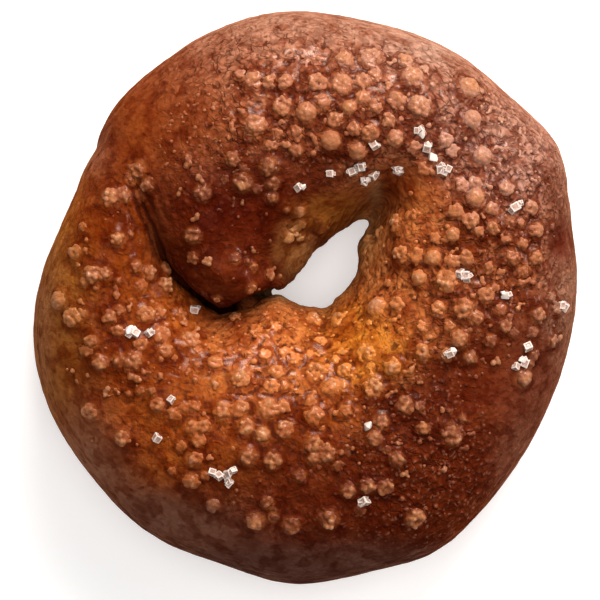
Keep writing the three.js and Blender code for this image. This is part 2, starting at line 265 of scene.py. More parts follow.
RIBS = (
    Rib((-19.0, 35.6), 118, 6.5, -9.0),
    Rib((-23.0, 29.6), 128, 3.7, -7.0),
    Rib((-25.2, 24.4), 139, 1.5, -4.4),
    Rib((-26.6, 19.6), 150, 0, -2.4),
    Rib((-27.6, 14.8), 162, 0, -1.4),
    Rib((-25.9, 7.2), 175, 0, -0.6),
    Rib((-21.4, 0.8), 195, 0, 0.0),
    Rib((-16.4, -3.4), 216, 0, 0.6),
    Rib((-11.4, -2.2), 234, 0, 1.1),
    Rib((-6.7, -0.1), 251, 0, 1.0),
    Rib((-1.2, -1.6), 269, 0, 0.5),
    Rib((3.6, -2.4), 285, 0, 0.2),
    Rib((6.4, -0.4), 307, 0, -0.8),
    Rib((8.9, 2.5), 330, 0, -1.4),
    Rib((10.3, 6.4), 358, 0, -1.0),
    Rib((10.3, 10.0), 384, 0, -0.3),
    Rib((12.8, 15.0), 412, 0, 0.2),
    Rib((10.0, 15.1), 427, 0, 0.9),
    Rib((5.6, 12.2), 452, 0, 1.7),
    Rib((1.4, 8.5), 478, 0, 1.6),
    Rib((-2.0, 4.2), 503, 0, 0.8),
    Rib((-3.3, 2.8), 513, 7, 0.2),
    Rib((-4.7, 2.1), 522, 17, 0.0),
    Rib((-6.0, 1.5), 535, 26.5, -0.2),
    Rib((-6.7, 0.6), 546, 34, -0.5),
    Rib((-6.6, -1.2), 557, 38.5, -0.8),
)

CREASES = (
    Crease(9, 2.6, ((12.6, 14.6), (15.6, 18.6), (16.4, 21.6), (19.2, 25), (22.4, 28.6))),
    Crease(4, 2.2, ((3.6, -2.0), (3.4, -6.0), (3.0, -10.5))),
)


def spline(points: np.ndarray, share: np.ndarray) -> np.ndarray:
    """A curve through points that gives each stretch between two points the same share of the way.

    Args:
        points: what the curve passes through, one to a row.
        share: how far along the curve to look, from 0 to 1.

    Returns:
        A row for each share.
    """
    ends = np.vstack([2 * points[0] - points[1], points, 2 * points[-1] - points[-2]])
    place = np.clip(share, 0.0, 1.0) * (len(points) - 1)
    piece = np.minimum(place.astype(int), len(points) - 2)
    part = (place - piece)[:, None]
    before, start, stop, after = (ends[piece + i] for i in range(4))
    leave = (stop - before) / 2
    reach = (after - start) / 2
    square = 3 * (stop - start) - 2 * leave - reach
    cube = 2 * (start - stop) + leave + reach
    return start + part * leave + part**2 * square + part**3 * cube


@dataclass
class Rope:
    """The rope of dough, bent into a ring with its ends lapped side by side, as in the solid."""

    outline_radius: float = 54.6
    top_height: float = 38.0
    widest_height: float = 16.5
    base_sink: float = 2.6
    top_roundness: float = 2.12
    base_roundness: float = 2.6
    swell_height: float = 0.32
    swell_waves: int = 5
    swell_length: int = 34
    swell_shrink: float = 0.78
    crown_from: int = 14
    crown_full: int = 32
    first_end_length: int = 13
    last_end_length: int = 11
    length_steps: int = 720

    def __post_init__(self) -> None:
        """Measures the rope along its middle."""
        self.hole_side = np.array([(*rib.hole, rib.rise) for rib in RIBS], float)
        self.outer_side = np.array([(rib.turn, rib.inset) for rib in RIBS], float)
        shares = np.linspace(0.0, 1.0, self.length_steps + 1)
        hole, outer, _ = self.rib_at(shares)
        steps = np.linalg.norm(np.diff((hole + outer) / 2, axis=0), axis=1)
        self.shares = shares
        self.lengths = np.concatenate([[0.0], np.cumsum(steps)])
        self.length = float(self.lengths[-1])

    def outline(self, turn: np.ndarray, inset: np.ndarray) -> np.ndarray:
        """Points of the outer outline, or inside it.

        Args:
            turn: the turns round the ring, in degrees.
            inset: how far inside the outline each point lies.

        Returns:
            A plan point for each turn.
        """
        radius = self.outline_radius - inset
        for swell in OUTLINE_SWELLS:
            apart = (turn - swell.turn + 180.0) % 360.0 - 180.0
            radius = radius + swell.by * np.exp(-((apart / swell.reach) ** 2))
        way = np.radians(turn)
        return np.stack([radius * np.cos(way), radius * np.sin(way)], axis=1)

    def rib_at(self, share: np.ndarray) -> tuple[np.ndarray, np.ndarray, np.ndarray]:
        """The rope's two sides and its crest.

        Args:
            share: how far through the ribs to look, from 0 to 1.

        Returns:
            Plan points on the hole's side and on the outer side, and the height of the crest.
        """
        hole = spline(self.hole_side, share)
        outer = spline(self.outer_side, share)
        return hole[:, :2], self.outline(outer[:, 0], outer[:, 1]), self.top_height + hole[:, 2]

    def fullness(self, length: np.ndarray) -> np.ndarray:
        """How large the section is at a length: whole, and rounding to nothing at both ends.

        Args:
            length: how far along the rope's middle to look.

        Returns:
            A share from 0 to 1 for each length.
        """
        ends = (length / self.first_end_length, (self.length - length) / self.last_end_length)
        first, last = (np.sqrt(1.0 - (1.0 - np.clip(end, 0.0, 1.0)) ** 2) for end in ends)
        return first * last

    def swell(self, points: np.ndarray) -> np.ndarray:
        """Slow swelling of the dough's crown.

        Args:
            points: points of the skin, three to a row.

        Returns:
            How far each point is raised.
        """
        shift, upward = 1.7, 0.6
        x, y, z = points.T
        total = np.zeros_like(x)
        for i in range(self.swell_waves):
            size = self.swell_shrink**i
            across = x * math.cos(GOLDEN_ANGLE * i) + y * math.sin(GOLDEN_ANGLE * i)
            along = across + upward * z * math.cos(2 * i)
            total += size * np.sin(2 * math.pi * along / (self.swell_length * size) + shift * i)
        return self.swell_height * total

    def crease_depth(self, places: np.ndarray) -> np.ndarray:
        """How far the creases lower the crust.

        Args:
            places: plan places, two to a row.

        Returns:
            A depth for each place.
        """
        mouth, fade = 1.6, 1.3
        deepest = np.zeros(len(places))
        for crease in CREASES:
            distance, along, _ = nearest_on(crease.line, places)
            reach = crease.half_width * (mouth + (1 - mouth) * along)
            depth = crease.depth * (1 - along) ** fade * np.exp(-((distance / reach) ** 2))
            deepest = np.maximum(deepest, depth)
        return deepest

    def skin(self, length: np.ndarray, turn: np.ndarray) -> np.ndarray:
        """Points of the dough's skin.

        Args:
            length: how far along the rope's middle each lies.
            turn: its turn round the section, in radians.

        Returns:
            A point for each pair.
        """
        hole, outer, top = self.rib_at(np.interp(length, self.lengths, self.shares))
        full = self.fullness(length)
        up = np.sin(turn)
        upper = up > 0
        roundness = 2.0 / np.where(upper, self.top_roundness, self.base_roundness)
        share = 0.5 + 0.5 * full * power(np.cos(turn), roundness)
        plan = hole + share[:, None] * (outer - hole)
        half_height = np.where(upper, top - self.widest_height, self.widest_height + self.base_sink)
        z = self.widest_height + half_height * full * power(up, roundness)
        crown = smooth(self.crown_from, self.crown_full, z) * full
        swell = self.swell(np.column_stack([plan, z]))
        return np.column_stack([plan, z + crown * (swell - self.crease_depth(plan))])


# The salt's places


# Smooth lumps of salt, seen from above: x, y and radius of each.
BALLS = (
    (-0.1, 36, 2.1), (4.7, 30.5, 2.1), (10, 28.6, 1.9), (17.3, 31, 1.8), (32.3, 34.6, 2), (34.3, 27.4, 2),
    (31.7, 40.8, 2.4), (8.4, 36.8, 1.6), (22.2, 3.7, 1.7), (24.8, 7.6, 1.7), (-8.7, -27, 1.7),
    (33, 19.2, 1.9), (42.5, -15.9, 1.9), (-1.5, 16.8, 1.3), (-3.6, 11.7, 1.3), (-48.3, -0.8, 2),
    (28.6, 12.2, 1.5), (14.2, -2.3, 2.2),
)

# Lumps made of many grains.
CLUMPS = (
    (-38.3, 19.3, 1.9), (-36, 19.8, 1.5), (-33, 25, 1.9), (-31, 22, 1.5), (-20.3, 20.3, 1.6),
    (-10.5, 42.3, 1.8), (-7.3, 42, 1.4), (-4.2, 41.8, 1.6), (-4.6, 37, 1.9), (2, 42, 2.1),
    (6.8, 41.5, 2.1), (3.2, 38, 1.7), (10.9, 42, 1.6), (10.8, 38.6, 1.6), (13.4, 37.2, 1.6),
    (12.4, 46.8, 2.1), (7.3, 46, 1.9), (16, 34.3, 1.5), (5.5, 34.5, 1.5), (9.2, 32.7, 1.4),
    (12.4, 32, 1.7), (-10.2, 33.2, 2.2), (-2, 28.6, 1.3), (-7.3, 25.5, 1.8), (-6.6, 22.3, 1.5),
    (-12.4, 22.2, 1.8), (-14.5, 27, 1.4), (-6.8, 19.5, 1.3), (22, 37, 2.3), (19.3, 46, 1.7),
    (20.8, 43, 2), (17.6, 38.4, 1.8), (27.2, 30.6, 1.6), (33, 22.2, 1.4), (39, 21, 1.5), (44, 17.5, 1.5),
    (36.2, 17.2, 1.3), (29.2, 16.9, 1.4), (-45.2, 8.6, 1.4), (-37, 11.2, 1.5), (-41.8, 4.3, 1.8),
    (-45.8, -4.2, 1.9), (-38.5, -4, 1.5), (-31.2, 4.7, 1.5), (-28.5, 5.2, 1.5), (-28.3, 2, 1.6),
    (-31.5, -3.5, 1.7), (-37, -6.8, 1.3), (-42, -8.8, 1.4), (-40.2, -12.8, 1.6), (-36.7, -12.5, 1.4),
    (-33.8, -12.6, 1.8), (-32.5, -9.3, 1.4), (-28.6, -7.5, 1.7), (-27.6, -10.8, 1.5), (-23, -8.8, 2),
    (-18, -13, 1.4), (-22.1, 12, 1.6), (14.9, 12.5, 1.3), (18, 14.4, 1.8), (1.2, -4.8, 1.8),
    (2.7, -9, 1.3), (6.7, -5, 2.1), (2, -14.9, 1.9), (-6, -14.8, 1.5), (11.8, -11.1, 1.9),
    (7.5, -14.4, 1.4), (16.9, -13.9, 1.8), (32, 14.9, 1.7), (36.4, 13.5, 1.4), (18.8, 8.3, 1.9),
    (28.4, 7, 1.4), (31.3, 7.7, 1.5), (27.4, 3.1, 2.1), (40.3, 7.7, 1.5), (44.8, 7.7, 1.5), (45, 13, 1.5),
    (35, 0.3, 1.6), (18, -1.6, 1.7), (25.8, -2.4, 1.5), (31, -2.4, 2), (33.2, -4.2, 1.4),
    (45.3, -3.5, 1.6), (30, -8.2, 1.9), (38.8, -5.8, 1.4), (22.8, -10.8, 1.6), (27.4, -11.3, 1.5),
    (32.1, -12, 1.4), (-42.3, -22.5, 1.8), (-36, -27.6, 1.6), (-29, -21.3, 1.4), (-22.3, -25.6, 1.4),
    (-20, -25.4, 1.4), (-21, -28, 1.4), (-21.9, -31.6, 1.6), (-22.6, -36, 1.6), (-16.4, -22.5, 1.7),
    (-13, -22, 1.6), (-12, -25.7, 1.7), (-7.6, -22, 2.1), (-4.7, -21.7, 1.5), (-4.3, -26.1, 1.8),
    (-13, -16, 1.7), (-11.3, -31.3, 1.7), (-6.6, -32, 1.7), (-7, -17.7, 1.5), (4.7, -17.9, 1.8),
    (1.4, -23.4, 1.9), (1.3, -28.8, 1.8), (3.9, -30.6, 1.8), (1.4, -31.6, 1.4), (13.2, -18, 2),
    (14.6, -24.6, 1.6), (13.3, -27.7, 1.5), (8.2, -38, 1.5), (12, -37, 1.6), (15.3, -37.3, 1.5),
    (17.7, -31.8, 1.5), (4.3, -43.6, 2), (-10, -44, 1.8), (-7.7, -40.3, 1.3), (-3, -44.8, 1.7),
    (-18.3, -40.8, 1.4), (19.3, -21.3, 1.9), (22.8, -25.9, 1.4), (28.3, -27.3, 2.1), (21.2, -43.4, 2),
)

# Lumps that the solid is too coarse to show.
SMALL_LUMPS = (
    (-12.9, 43.2, 1.2), (-5.7, 31.9, 1.1), (-7.2, 29.6, 1.2), (-9.8, 21, 1), (23, 25, 1.2),
    (20.8, 29.2, 1.2), (-34.3, 23, 1.2), (-32.6, 19.8, 1.2), (-12.4, 25, 0.8), (-12.5, 36, 0.7),
    (1.2, 28, 0.7), (23, 44.5, 1), (-23.3, 27, 0.9), (-43.8, 13.6, 1.1), (-43.1, 11, 0.6),
    (-43.3, 9.1, 0.6), (-34.5, 12.2, 0.7), (-43.4, 2.8, 1), (-37, 3, 0.7), (-41, 1.5, 0.5),
    (-46.8, -2.1, 0.4), (-43.9, -3.4, 1.1), (-36.8, -2.7, 1.2), (-33.5, 6, 1.2), (-32.5, 2, 1.2),
    (-30.4, -1.1, 0.6), (-25, -3.3, 1.2), (-43, -10.7, 1.2), (-35, -14.2, 0.8), (-27.6, -5.5, 0.8),
    (-28.5, -12.3, 0.7), (-25.8, -12, 0.9), (-21.6, -10.6, 1.2), (-21.5, -13.4, 0.7), (-22.2, 7.6, 1.2),
    (-17.5, 0.3, 1), (-4, 17, 0.7), (-1.5, 14.2, 1.2), (3.2, 13.4, 1.1), (2.2, 15, 0.5), (-1.3, 11.7, 1),
    (0.3, 11.8, 0.8), (4.3, 11.6, 0.8), (-14, 7.4, 1.1), (-11.7, 6.9, 0.6), (-10.5, 5.7, 1),
    (-7.6, 4.6, 1.2), (-6.4, 5.6, 0.5), (-11.3, 2.1, 1.1), (12.3, 11.4, 1.1), (11.8, 8.7, 0.8),
    (16.3, 2.7, 1), (12.4, -5.2, 0.8), (-13.7, -5, 1.2), (-6.2, -6, 1.1), (-8.2, -11.5, 1.2),
    (-4.4, -10.9, 1.1), (0.5, -11.5, 0.9), (5.6, -12.5, 1), (12.5, -13.8, 0.9), (20, 16, 0.8),
    (25.3, 11.4, 1.1), (27.6, 13.7, 0.6), (33.6, 12.8, 1.2), (35.8, 5.6, 1.2), (42, 14.3, 0.9),
    (42.3, 10.4, 1.2), (39, 11.4, 1.1), (48.3, 13.9, 0.8), (37, 1.8, 0.8), (38.1, -2.5, 1.2),
    (48.2, -0.1, 1), (49.3, -2.5, 1.3), (28, -5.8, 1.1), (22.6, -5.9, 1.2), (24.2, -7.7, 1),
    (40.5, -7, 1), (36, -8.6, 1.2), (44.5, -6.9, 1.1), (44.5, -11.6, 1.2), (-42.2, -28.4, 0.4),
    (-33.2, -29, 0.4), (-34.8, -19, 0.7), (-32.6, -18.4, 1), (-30.3, -18.5, 0.9), (-23.9, -21.6, 1),
    (-21.9, -21.3, 1.2), (-24.5, -29.1, 1.1), (-26.4, -34, 0.9), (-20, -35, 1), (-4.3, -17.5, 0.9),
    (6.9, -17.6, 1.2), (0.8, -20.5, 1.2), (3, -25.8, 0.8), (6, -33, 1.1), (6.7, -30.5, 0.7),
    (-1.3, -35.2, 1.2), (9, -29.7, 0.5), (15.7, -30, 0.8), (-6.5, -43.2, 1.1), (-6.4, -41.6, 0.6),
    (-14.3, -40.4, 0.5), (10.5, -41.8, 1.1), (21.9, -21.6, 1.2), (28.2, -25.3, 1), (30.5, -24, 0.9),
    (28, -22.5, 0.6), (31.3, -29.7, 0.7), (24.2, -27.9, 0.5), (18.7, -39.6, 0.6), (25.4, -41.2, 0.5),
    (23.2, -41.6, 0.6), (13.4, 43.2, 1.3), (-1.8, 32.1, 1.3), (28.6, 28.4, 1.3), (30.3, 22, 1.3),
    (-39.4, 4.5, 1.3), (-28.8, -3, 1.3), (-2.4, -12.4, 1.3), (21.6, 7.6, 1.3), (42.5, 5.2, 1.3),
    (48.5, -8.8, 1.3), (-26, -23, 1.3), (7.6, -22.2, 1.3),
)


@dataclass(frozen=True)
class GrainPatch:
    """An ellipse of crust strewn with bunches of grains and with small beads in its glaze."""

    x: float
    y: float
    wide: float
    deep: float
    bunches: int
    beads: int


GRAIN_PATCHES = (
    GrainPatch(6, 39, 20, 11, 30, 90),
    GrainPatch(34, 30, 13, 16, 20, 150),
    GrainPatch(32, 10, 17, 14, 28, 60),
    GrainPatch(36, -8, 15, 9, 18, 40),
    GrainPatch(10, -12, 15, 10, 16, 60),
    GrainPatch(-6, -28, 25, 13, 22, 20),
    GrainPatch(22, -27, 14, 13, 18, 90),
    GrainPatch(-35, -9, 13, 13, 14, 20),
    GrainPatch(-38, 8, 8, 12, 6, 10),
    GrainPatch(-26, -11, 11, 7, 10, 40),
    GrainPatch(-10, 10, 15, 9, 10, 20),
    GrainPatch(-17, 29, 12, 13, 14, 150),
    GrainPatch(-4, -9, 12, 7, 4, 70),
)

# Bare crystals that lie together: x, y, how many, and how far they spread.
CRYSTAL_GROUPS = (
    (10, 25, 4, 1.3), (11.2, 22.3, 2, 0.7), (13.1, 23.9, 1, 0), (4.6, 24.1, 1, 0), (-1.6, 21.4, 1, 0),
    (13.2, 29.6, 1, 0), (21.7, 32, 3, 0.9), (23.3, 29.6, 2, 0.7), (24.7, 27.2, 1, 0), (27, 24.2, 4, 1.3),
    (18.2, 24.9, 2, 0.6), (41.1, 17.6, 3, 1), (30.6, 3.8, 3, 1), (28, -11.2, 1, 0), (39, 0.2, 1, 0),
    (43.4, -9.9, 1, 0), (42.7, -12.5, 2, 0.6), (41.1, -13.7, 1, 0), (50.4, -1.5, 2, 0.7),
    (-34.4, -7.3, 3, 0.9), (-31.3, -7.2, 2, 0.6), (-15.3, -35, 6, 1.9), (-18.5, -34.3, 1, 0),
    (-26.4, -20.2, 1, 0), (-29.2, -27.7, 1, 0), (11.1, -40.5, 2, 0.7), (-22.2, -2.7, 1, 0),
    (11.9, -25.4, 1, 0),
)


@dataclass(frozen=True)
class Foothold:
    """A place on the crust, seen from above, and the way that the crust faces there."""

    point: Vector
    normal: Vector


@dataclass(frozen=True)
class Lump:
    """A lump of salt under the glaze."""

    radius: float
    foot: Foothold


@dataclass(frozen=True)
class Crystal:
    """A bare crystal of salt and the way it is turned."""

    side: float
    tilt: Euler
    foot: Foothold


@dataclass
class Probe:
    """Finds the crust under a place seen from above, on an object in millimetres."""

    obj: Object
    start: float = 80.0
    lowest_salt: float = 21.0
    steepest_salt: float = 0.33

    def __post_init__(self) -> None:
        """Reads the object's mesh as it is now."""
        self.tree = tree_of(self.obj)

    def under(self, x: float, y: float) -> Foothold | None:
        """The crust under a plan place.

        Args:
            x: how far to the right the place lies.
            y: how far up the plan it lies.

        Returns:
            The foothold there, or None over the hole and on steep sides.
        """
        point, normal, _, _ = self.tree.ray_cast(Vector((x, y, self.start)), Vector((0, 0, -1)))
        if point is None or point.z < self.lowest_salt or normal.z < self.steepest_salt:
            return None
        return Foothold(point, normal)


@dataclass
class Salt:
    """The salt where the solid has it, with the small lumps that it is too coarse to show."""

    probe: Probe
    crystal_side: float = 1.5
    crystal_spread: float = 0.2

    def __post_init__(self) -> None:
        """Finds the crust under every lump and crystal."""
        self.balls = self.lumps_at(BALLS)
        self.clumps = self.lumps_at(CLUMPS)
        self.small = self.lumps_at(SMALL_LUMPS)
        self.lumps = self.balls + self.clumps + self.small
        self.crystals = self.draw_crystals()

    def lumps_at(self, spots: tuple[Triple, ...]) -> list[Lump]:
        """The lumps of a table that have crust under them."""
        feet = [(radius, self.probe.under(x, y)) for x, y, radius in spots]
        return [Lump(radius, foot) for radius, foot in feet if foot]

    def draw_crystals(self) -> list[Crystal]:
        """Finds the bare crystals' places.

        Returns:
            The crystals that have crust under them.
        """
        draws = Draws(RANDOM_SEED + 1)
        placed = []
        for middle_x, middle_y, count, spread in CRYSTAL_GROUPS:
            for i in range(count):
                turn = GOLDEN_ANGLE * i + 2 * math.pi * draws.next()
                reach = spread * math.sqrt((i + 0.5) / count)
                side = self.crystal_side * (1 + self.crystal_spread * (2 * draws.next() - 1))
                tilt = Euler([math.pi * draws.next() for _ in range(3)], "XYZ")
                x, y = middle_x + reach * math.cos(turn), middle_y + reach * math.sin(turn)
                foot = self.probe.under(x, y)
                if foot:
                    placed.append(Crystal(side, tilt, foot))
        return placed


# Working on meshes


def pick(obj: Object) -> None:
    """Selects one object alone and makes it the active one.

    Args:
        obj: the object.
    """
    bpy.ops.object.select_all(action="DESELECT")
    obj.select_set(True)
    bpy.context.view_layer.objects.active = obj


def pick_faces(obj: Object, chosen: np.ndarray) -> None:
    """Selects an object, and in it some faces alone.

    Args:
        obj: the object.
        chosen: whether each of its faces is selected.
    """
    pick(obj)
    mesh = obj.data
    mesh.vertices.foreach_set("select", np.zeros(len(mesh.vertices), bool))
    mesh.edges.foreach_set("select", np.zeros(len(mesh.edges), bool))
    mesh.polygons.foreach_set("select", chosen)
    bpy.context.tool_settings.mesh_select_mode = (False, False, True)


def merge_faces(obj: Object, chosen: np.ndarray, kept: float) -> None:
    """Merges some of an object's faces into fewer and larger ones.

    Args:
        obj: the object.
        chosen: whether each of its faces may be merged.
        kept: the share of the chosen faces that stays.
    """
    pick_faces(obj, chosen)
    bpy.ops.object.mode_set(mode="EDIT")
    bpy.ops.mesh.decimate(ratio=kept)
    bpy.ops.object.mode_set(mode="OBJECT")


def finish_with(obj: Object, kind: str, **settings: object) -> None:
    """Adds a modifier to an object and applies it.

    Args:
        obj: the object to finish.
        kind: the modifier's type.
        settings: its settings by name.
    """
    pick(obj)
    modifier = obj.modifiers.new(kind.title(), kind)
    for name, value in settings.items():
        setattr(modifier, name, value)
    bpy.ops.object.modifier_apply(modifier=modifier.name)


def rows_of(items: bpy.types.bpy_prop_collection, name: str) -> np.ndarray:
    """Reads one vector of each item of a mesh.

    Args:
        items: the mesh's items, such as its vertices.
        name: what the vector is called there.

    Returns:
        The vectors, three to a row.
    """
    flat = np.empty(3 * len(items), np.float32)
    items.foreach_get(name, flat)
    return flat.reshape(-1, 3)


def points_of(obj: Object) -> np.ndarray:
    """The places of an object's vertices, three to a row."""
    return rows_of(obj.data.vertices, "co").astype(float)


def normals_of(obj: Object) -> np.ndarray:
    """The ways that an object's vertices face, three to a row."""
    return rows_of(obj.data.vertex_normals, "vector").astype(float)


def move_points(obj: Object, points: np.ndarray) -> None:
    """Puts an object's vertices at new places."""
    obj.data.vertices.foreach_set("co", points.astype(np.float32).ravel())
    obj.data.update()


def tree_of(obj: Object) -> BVHTree:
    """An object's faces, ready for finding the nearest one or the one under a place."""
    corners = [vertex.co for vertex in obj.data.vertices]
    return BVHTree.FromPolygons(corners, [tuple(face.vertices) for face in obj.data.polygons])


def write_marks(obj: Object, name: str, values: np.ndarray) -> None:
    """Keeps one number, or one colour, for each vertex, for the materials to read.

    Args:
        obj: the object whose mesh keeps them.
        name: what the materials call them.
        values: a number or three numbers for each vertex.
    """
    mesh = obj.data
    if values.ndim == 1:
        marks = mesh.attributes.new(name, "FLOAT", "POINT")
        marks.data.foreach_set("value", values.astype(np.float32))
        return
    marks = mesh.attributes.new(name, "FLOAT_COLOR", "POINT")
    filled = np.ones((len(values), 4), np.float32)
    filled[:, :3] = values
    marks.data.foreach_set("color", filled.ravel())


def hollows_of(obj: Object) -> np.ndarray:
    """How far each vertex lies below the middle of its neighbours, two rings of them.

    Args:
        obj: the object to look at.

    Returns:
        A depth for each vertex, in the mesh's own unit. It is negative on ridges.
    """
    points, normals = points_of(obj), normals_of(obj)
    flat = np.empty(2 * len(obj.data.edges), np.int32)
    obj.data.edges.foreach_get("vertices", flat)
    starts, ends = flat.reshape(-1, 2).T
    count = np.bincount(starts, minlength=len(points)) + np.bincount(ends, minlength=len(points))
    depth = np.zeros(len(points))
    for _ in range(2):
        mean = np.empty_like(points)
        for axis in range(3):
            total = np.bincount(starts, points[ends, axis], len(points))
            total += np.bincount(ends, points[starts, axis], len(points))
            mean[:, axis] = total / count
        depth += np.sum((mean - points) * normals, axis=1)
        points = mean
    return depth


def new_mesh_object(name: str, points: np.ndarray, faces: np.ndarray | list) -> Object:
    """An object made of copies of worked shapes.

    Args:
        name: the object's name.
        points: its vertices.
        faces: the vertices of each face.

    Returns:
        The object, linked to the scene.
    """
    mesh = bpy.data.meshes.new(name)
    mesh.from_pydata(points.tolist(), [], [tuple(face) for face in faces])
    mesh.update()
    obj = bpy.data.objects.new(name, mesh)
    bpy.context.scene.collection.objects.link(obj)
    return obj


def take_apart(obj: Object) -> Shape:
    """Reads an object's mesh and removes the object.

    Args:
        obj: the object to take apart.

    Returns:
        Its vertices and its faces.
    """
    points = points_of(obj)
    faces = [tuple(polygon.vertices) for polygon in obj.data.polygons]
    mesh = obj.data
    bpy.data.objects.remove(obj)
    bpy.data.meshes.remove(mesh)
    return points, faces


@dataclass(kw_only=True)
class Piece:
    """A piece of the dressed bagel: modelled in the plan's millimetres, then settled in its place."""

    name: str
    slot: str = "crust"
    obj: Object | None = None

    def settle(self, material: Material, shift: Vector) -> None:
        """Brings the piece to the bagel's place in metres, dresses it and lets it ride.

        Args:
            material: its material.
            shift: from the plan's place to the bagel's, in metres.
        """
        move_points(self.obj, points_of(self.obj) * MM + np.array(shift))
        self.obj.data.materials.clear()
        self.obj.data.materials.append(material)
        pick(self.obj)
        bpy.ops.object.shade_smooth()
        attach(self.obj, BODY)
        faces = sum(len(polygon.vertices) - 2 for polygon in self.obj.data.polygons)
        LOG.info("%s: %d triangles", self.obj.name, faces)


# Colours of the crust


class Tone(Enum):
    """The crust's colours where it has browned more or less; some also carry a painted sheen, as marked.
    """

    MAHOGANY = (0.086, 0.0082, 0.0016)
    OXBLOOD = (0.122, 0.019, 0.004)
    CHESTNUT = (0.185, 0.034, 0.0075)
    RUSSET = (0.31, 0.088, 0.03)
    AMBER = (0.195, 0.034, 0.0026)
    GINGER = (0.37, 0.086, 0.011)
    HONEY = (0.64, 0.215, 0.016)
    APRICOT = (0.56, 0.17, 0.042)
    # Pink-brown with a painted sheen, for the upper right.
    BLUSH = (0.405, 0.198, 0.138)
    ROSE_TAN = (0.42, 0.16, 0.085)
    # Pinkish brown with a painted sheen, for the rims at the top.
    SIENNA = (0.37, 0.165, 0.098)
    KHAKI = (0.5, 0.23, 0.07)
    OLIVE = (0.33, 0.112, 0.018)
    TAUPE = (0.19, 0.058, 0.02)
    # Grey-brown of the rims with a painted sheen.
    FAWN = (0.24, 0.108, 0.064)
    BUN = (0.33, 0.115, 0.03)
    UMBER = (0.098, 0.042, 0.03)
    DUSK = (0.165, 0.07, 0.044)
    # Grey-pink painted sheen, for the top rim.
    DUSTY_PINK = (0.44, 0.27, 0.2)
    CREAM = (0.42, 0.26, 0.11)
    BASE = (0.27, 0.12, 0.042)


@dataclass(frozen=True)
class ToneSpot:
    """A soft-edged stretch of crust with a tone of its own."""

    x: float
    y: float
    wide: float
    deep: float
    tone: Tone
    weight: float = 1.0
    wrinkled: float = 0.6

    def share(self, places: np.ndarray) -> np.ndarray:
        """How strongly the spot works at plan places.

        Args:
            places: plan places in millimetres, two to a row.

        Returns:
            A number for each place, up to the spot's weight.
        """
        across = (places[:, 0] - self.x) / self.wide
        deep = (places[:, 1] - self.y) / self.deep
        return self.weight * np.exp(-(across**2 + deep**2))


